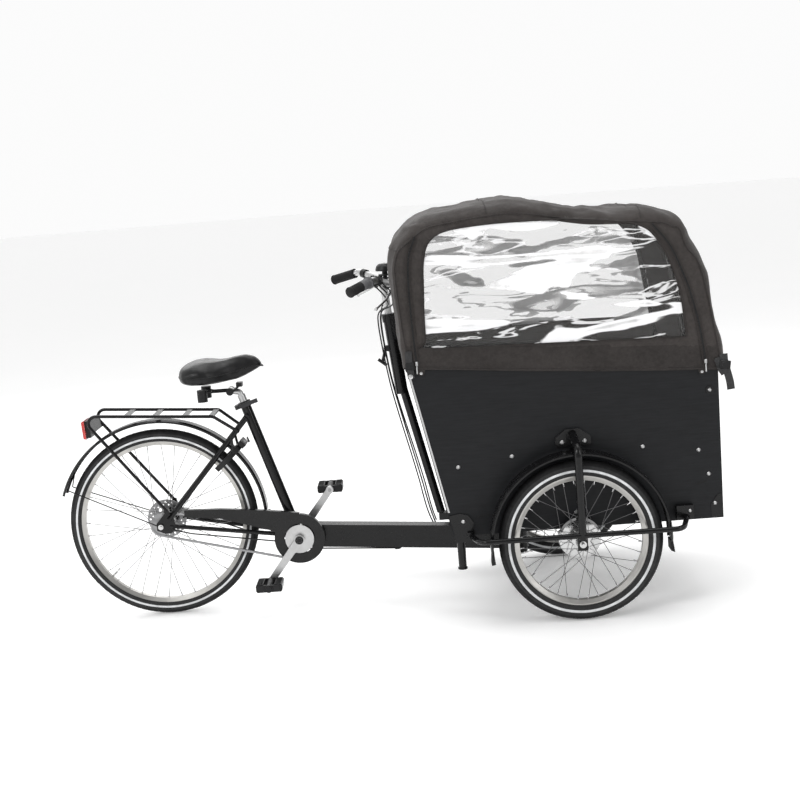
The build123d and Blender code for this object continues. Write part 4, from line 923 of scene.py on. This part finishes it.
# seams, piping and zips on the canopy
A = Acc()
for k_, j0, j1 in ((1, 0, NJ), (NV - 2, 0, NJ)):
    v = YV[k_]
    A.tube([strip_pt(j, v, 1.0) for j in range(0, NJ, 2)], 2.3, 8, 0)
for j in (62, 118, 196):
    A.tube([strip_pt(j, v, 0.7) for v in np.linspace(-.985, .985, 90)], 1.5, 6, 0)
for s in (-1, 1):
    ring = []
    for i in range(260):
        a = 2 * math.pi * i / 260
        R_ = float(win_r(a)) + 5
        x, z = WC[0] + math.cos(a) * R_, WC[1] + math.sin(a) * R_
        ring.append((x, s * (W2 + 1.5 + fold(x, s * W2, z, s) * 0.30 + 2.4), z))
    A.tube(ring, 1.7, 6, 0, closed=True)
    hemrow = []
    for i in range(140):
        x = 866 + (1880 - 866) * i / 139.0
        z = 838 - (x - 861) * 0.0724 - 3.0 * math.sin(math.pi * i / 139.0) + 1.5
        hemrow.append((x, s * (W2 + 1.0), z))
    A.tube(hemrow, 2.6, 8, 0)
A.make("canopy_piping", ["hem"], "cargo")


def ribbon(A, pts, y, w, thick, mi=0):
    """A flat band following pts (x, z) at height y off the side, w wide."""
    rws = []
    P = [np.array(p[:2], float) for p in pts]
    for i, p in enumerate(P):
        t = P[min(i + 1, len(P) - 1)] - P[max(i - 1, 0)]
        t /= np.linalg.norm(t)
        n = np.array([-t[1], t[0]])
        yy = y[i] if hasattr(y, "__len__") else y
        sgn = 1 if yy > 0 else -1
        a, b = p - n * w / 2, p + n * w / 2
        rws.append([(a[0], yy, a[1]), (a[0], yy + sgn * thick, a[1]), (b[0], yy + sgn * thick, b[1]), (b[0], yy, b[1])])
    A.grid(rws, mi, close_v=True)


A = Acc()
ZIPS = [[(908, 838), (903, 950), (900, 1080), (906, 1180), (930, 1246)], [(1663, 1232), (1716, 1160), (1757, 1060), (1785, 960), (1803, 860), (1812, 782)]]
for s in (-1, 1):
    for zp in ZIPS:
        pts = smooth_line(zp, 90)
        ys = [s * (W2 + 1.8 + fold(x, s * W2, z, s) * 0.55 + 1.8) for x, z in pts]
        ribbon(A, pts, ys, 16, 1.2, 0)
        ribbon(A, pts, [y + s * 1.2 for y in ys], 4.6, 1.6, 1)
        for k in range(0, 90, 1):
            x, z = pts[k]
            A.brick((x, ys[k] + s * 3.2, z), (5.4, 1.4, 2.0), None, 0.4, 1)
        x, z = pts[-3] if zp is ZIPS[1] else pts[3]
        A.brick((x, ys[3] + s * 4.0, z), (8, 4, 13), None, 1.2, 2)
        A.brick((x, ys[3] + s * 5.5, z - 20), (4, 2, 26), None, 0.8, 2)
z_ = A.make("canopy_zips", ["hem", "plastic", "silver"], "cargo", smooth=False)

# straps, buckles, flaps and snaps
A = Acc()


def strap(pts, w, th, mi=0):
    """A flat strap following 3-D points; the width lies along x."""
    rws = []
    P = smooth_line(pts, 46)
    for i, p in enumerate(P):
        t = P[min(i + 1, 45)] - P[max(i - 1, 0)]
        t = Vector(t).normalized()
        wd = Vector((1, 0, 0)) - t * t.x
        wd.normalize()
        n = t.cross(wd).normalized()
        p = Vector(p)
        rws.append([tuple(p + wd * (w / 2) * a + n * (th / 2) * b) for a, b in ((-1, -1), (-1, 1), (1, 1), (1, -1))])
    A.grid(rws, mi, close_v=True)
    A.add(rws[0], [(3, 2, 1, 0)], mi)
    A.add(rws[-1], [(0, 1, 2, 3)], mi)


for s in (-1, 1):
    strap([(884, s * 319.5, 892), (884, s * 321.5, 868), (885, s * 322.5, 846), (886, s * 320, 826), (888, s * 321, 806)], 22, 2.2)
    A.brick((885, s * 323.5, 846), (28, 5, 24), None, 1.6, 1)
    A.brick((885, s * 325.5, 846), (18, 3, 12), None, 1.2, 1)
    A.lathe((886, s * 321.5, 812), (0, s, 0), [(0, 7.5), (1.6, 7.5), (2.6, 5.2), (3.0, 2.8), (2.2, 2.2), (2.2, 0.01)], 24, 2)
    strap([(1868, s * 319, 812), (1869, s * 321.5, 790), (1874, s * 321.5, 766), (1880, s * 320, 744), (1884, s * 324, 722), (1887, s * 321, 698)], 24, 2.2)
    strap([(1846, s * 318.5, 800), (1852, s * 321.5, 784), (1858, s * 320, 764), (1868, s * 319, 748)], 20, 2.0)
    A.brick((1871, s * 323.6, 778), (34, 6, 26), Matrix.Rotation(math.radians(8), 3, "Y"), 1.8, 1)
    A.brick((1871, s * 326.0, 778), (22, 3.4, 14), Matrix.Rotation(math.radians(8), 3, "Y"), 1.2, 1)
    # fastening flaps below the hem
    for x0, x1, zt, zl in ((905, 934, 838, 812), (870, 898, 836, 822), (1786, 1812, 774, 752)):
        rws = []
        for i in range(9):
            t = i / 8.0
            xa, xb = x0 + (x1 - x0) * 0.30 * t * t, x1 - (x1 - x0) * 0.30 * t * t
            z = zt + (zl - zt) * t
            rws.append([(xa + (xb - xa) * q, s * (313.8 + 1.6 * math.sin(3 * t + q * 2) + 1.5 * t), z) for q in (0, .25, .5, .75, 1)])
        A.grid(rws, 3)
        rws = [[(p[0], p[1] + s * 1.8, p[2]) for p in r] for r in rws]
        A.grid([list(reversed(r)) for r in rws], 3)
        A.lathe(((x0 + x1) / 2, s * 316.5, zl + 8), (0, s, 0), [(0, 4.6), (1.2, 4.6), (1.8, 3.0), (1.8, 0.01)], 18, 2)
st_ = A.make("canopy_fastenings", ["webbing", "plastic", "silver", "hem"], "cargo", smooth=False)
soft_edges(st_)
for p in st_.data.polygons:
    p.use_smooth = True
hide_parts("canopy_straps")

# ---------------------------------------------------------------- grips
def bar_frame(x, y, z, bt=math.radians(7.8)):
    return Vector((816 + x * math.cos(bt) - y * math.sin(bt), x * math.sin(bt) + y * math.cos(bt), 1082 + z))


END, ELB = (-142, 302, 8), (-58, 222, 34)
A = Acc()
for s, n0 in ((-1, 56.0), (1, 100.0)):
    a, b = bar_frame(END[0], s * END[1], END[2]), bar_frame(ELB[0], s * ELB[1], ELB[2])
    u = (b - a).normalized()
    prof = [(-3.5, 0.01), (-3.5, 9), (-2.6, 13.5), (-0.5, 16.6), (3, 17.6), (4.5, 17.2), (5.5, 15.4)]
    d = 8.0
    while d < n0 - 4:
        prof += [(d, 15.3), (d + 0.8, 16.3), (d + 2.6, 16.4), (d + 3.4, 15.3)]
        d += 5.2
    prof += [(n0 - 2.5, 15.6), (n0 - 2, 16.6), (n0, 16.6), (n0, 11.3)]
    A.lathe(a, u, prof, 48)
g = A.make("grips_ribbed", ["rubber"], "cargo")
soft_edges(g, 50)
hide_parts("grips")
a, b = bar_frame(END[0], -END[1], END[2]), bar_frame(ELB[0], -ELB[1], ELB[2])
u = (b - a).normalized()
e1 = u.cross(Vector((0, 0, 1))).normalized()
e2 = u.cross(e1)
A = Acc()
rows = []
for d, r, rib in [(56.8, 12, 0), (56.8, 15.8, 0), (58, 16.6, 0), (60, 16.8, 1), (88, 17.0, 1), (91, 17.2, 0), (92.4, 20.2, 0), (99.5, 20.4, 0), (100.8, 19.4, 0), (100.8, 12, 0)]:
    rows.append([tuple(a + u * d + (e1 * math.cos(2 * math.pi * k / 96) + e2 * math.sin(2 * math.pi * k / 96)) * (r - (0.9 if rib and k % 4 < 2 else 0))) for k in range(96)])
A.grid(rows, 0, close_v=True)
g = A.make("shift_grip_ribbed", ["greyplastic"], "shift_grip")
soft_edges(g, 50)
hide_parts("shift_grip")


# ---------------------------------------------------------------- cables
def cable(name, pts, r, body):
    c = bpy.data.curves.new(name, "CURVE")
    c.dimensions = "3D"
    sp = c.splines.new("NURBS")
    sp.points.add(len(pts) - 1)
    for q, p in zip(sp.points, pts):
        v = L(*p) if not isinstance(p, Vector) else L(p.x, p.y, p.z)
        q.co = (v.x, v.y, v.z, 1)
    sp.order_u = 3
    sp.use_endpoint_u = True
    c.bevel_depth = r / 1000.0
    c.bevel_resolution = 5
    c.resolution_u = 16
    c.materials.append(M["cable"])
    o = bpy.data.objects.new(name, c)
    SC.collection.objects.link(o)
    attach(o, body)
    return o


B_ = bar_frame
ROUTES = [
    [B_(4, -176, -2), B_(16, -140, -34), B_(12, -96, -66), (800, -50, 1004), (795, -20, 950), (811, -13, 800), (829, -12, 700), (893, -10, 420), (908, -12, 340), (921, -13, 285), (930, -14, 258)],
    [B_(4, 176, -2), B_(16, 140, -34), B_(12, 96, -66), (800, 50, 1004), (795, 20, 950), (811, 13, 800), (831, 12, 700), (900, 10, 420), (914, 12, 340), (925, 13, 285), (934, 14, 258)],
    [B_(-52, -206, 14), B_(-20, -168, -18), B_(2, -118, -62), (789, -44, 1000), (788, -25, 940), (803, -21, 812), (820, -17, 700), (884, 0, 420), (897, -1, 340), (911, -1, 280), (922, -1, 255)],
]
cabs = [cable("control_cable_%d" % i, r, 2.4, "cargo") for i, r in enumerate(ROUTES)]
for c in cabs:
    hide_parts("control_cables")

# ---------------------------------------------------------------- small parts
A = Acc()                                    # key in the ring lock
lc = Vector((318 * math.cos(math.radians(41)), 0, 325 + 318 * math.sin(math.radians(41))))
tn = Vector((-math.sin(math.radians(41)), 0, math.cos(math.radians(41))))
rd = Vector((math.cos(math.radians(41)), 0, math.sin(math.radians(41))))
k0 = lc + rd * 81
A.lathe(k0 + Vector((0, -20, 0)), rd, [(0, 6.5), (4, 6.5), (5, 5.5), (5, 0.01)], 20, 1)
A.brick(k0 + rd * 9 + Vector((0, -20, 0)), (2.2, 8, 12), Matrix.Rotation(math.radians(-41), 3, "Y"), 0.8, 1)
A.brick(k0 + rd * 20 + Vector((0, -20, -6)), (3.4, 22, 20), Matrix.Rotation(math.radians(-20), 3, "Y"), 1.5, 0)
o = A.make("lock_key", ["plastic", "steel"], "root")
soft_edges(o)

A = Acc()                                    # pull slots near the bottom of the box sides, dust cap on the crank
for s in (-1, 1):
    for x0, z0, ln, an in ((1086, 345, 46, 12), (1786, 402, 40, 12)):
        pts = [(x0 + ln * math.cos(math.radians(an)) * t, s * 310.35, z0 + ln * math.sin(math.radians(an)) * t) for t in np.linspace(-0.5, 0.5, 9)]
        ribbon(A, [(p[0], p[2]) for p in pts], s * 310.1, 5.0, 0.35, 0)
A.make("box_slots", ["rubber"], "cargo", smooth=False)

A = Acc()
A.lathe((464, -76.1, 244), (0, -1, 0), [(0, 14.0), (2.2, 14.0), (3.2, 12.6), (3.2, 11.2), (2.4, 10.6), (3.4, 6), (3.6, 0.01)], 40)
A.lathe((464, 76.1, 244), (0, 1, 0), [(0, 14.0), (2.2, 14.0), (3.2, 12.6), (3.2, 11.2), (2.4, 10.6), (3.4, 6), (3.6, 0.01)], 40)
A.make("crank_caps", ["plastic"], "crankset")

# pedal reflectors and grip ribs
for tip, s, nm in (((464 + 170 * math.cos(math.radians(231.4)), 244 + 170 * math.sin(math.radians(231.4))), -1, "right"), ((464 + 170 * math.cos(math.radians(51.4)), 244 + 170 * math.sin(math.radians(51.4))), 1, "left")):
    A = Acc()
    for d in (-1, 1):
        A.brick((tip[0] + d * 44.3, s * 130, tip[1]), (1.6, 52, 13), None, 0.6, 1)
        for k in range(7):
            for h in (-1, 1):
                A.brick((tip[0] + d * 31, s * (100 + k * 10), tip[1] + h * 14.4), (20, 3.2, 1.6), None, 0.5, 0)
    A.make("pedal_detail_" + nm, ["rubber", "stripe"], "pedal_" + nm)

# ---------------------------------------------------------------- floor, light
fm = Mat("floor_pale")
fm.colour(fm.noise(1.3, 3), (0.925, 0.925, 0.925), (0.945, 0.945, 0.945))
fm.rough(fm.noise(3), 0.5, 0.6)
fm.b.inputs["Emission Color"].default_value = (1, 1, 1, 1)
fm.set(Emission_Strength=0.17)
me = bpy.data.meshes.new("floor")
NF = 96
me.from_pydata([(60 * math.cos(2 * math.pi * k / NF), 60 * math.sin(2 * math.pi * k / NF), -0.0004) for k in range(NF)], [], [tuple(range(NF))])
me.materials.append(fm.m)
fl = bpy.data.objects.new("floor", me)
SC.collection.objects.link(fl)


def area(nm, loc, target, size, size_y, power):
    d = bpy.data.lights.new(nm, "AREA")
    d.shape = "RECTANGLE"
    d.size, d.size_y, d.energy = size, size_y, power
    o = bpy.data.objects.new(nm, d)
    SC.collection.objects.link(o)
    o.location = loc
    o.rotation_mode = "QUATERNION"
    o.rotation_quaternion = (Vector(target) - Vector(loc)).to_track_quat("-Z", "Y")
    return o


area("key", (-3.4, -4.4, 4.2), (0, 0, 0.6), 2.2, 1.4, 120)
area("right", (4.4, -3.4, 2.6), (0.3, 0, 0.7), 0.8, 2.6, 55)
area("top", (0.2, 0.2, 4.6), (0, 0, 0), 5.0, 2.0, 85)
area("back", (-1.5, 4.5, 3.2), (0, 0, 0.6), 4.0, 1.6, 60)
area("strip", (-4.6, -1.6, 1.8), (0, 0, 0.6), 0.35, 2.4, 22)
w = bpy.data.worlds.new("studio")
w.use_nodes = True
wn, wt = w.node_tree.nodes, w.node_tree
tc, sep, rp = wn.new("ShaderNodeTexCoord"), wn.new("ShaderNodeSeparateXYZ"), wn.new("ShaderNodeValToRGB")
wt.links.new(tc.outputs["Generated"], sep.inputs["Vector"])
mp = wn.new("ShaderNodeMath")
mp.operation = "MULTIPLY_ADD"
mp.inputs[1].default_value, mp.inputs[2].default_value = 0.5, 0.5
wt.links.new(sep.outputs["Y"], mp.inputs[0])
wt.links.new(mp.outputs[0], rp.inputs["Fac"])
rp.color_ramp.elements[0].position, rp.color_ramp.elements[0].color = 0.10, (0.36, 0.36, 0.36, 1)
rp.color_ramp.elements[1].position, rp.color_ramp.elements[1].color = 0.62, (0.97, 0.97, 0.97, 1)
wt.links.new(rp.outputs["Color"], wn["Background"].inputs["Color"])
wn["Background"].inputs["Strength"].default_value = 1.0
SC.world = w
SC.view_settings.view_transform = "Standard"
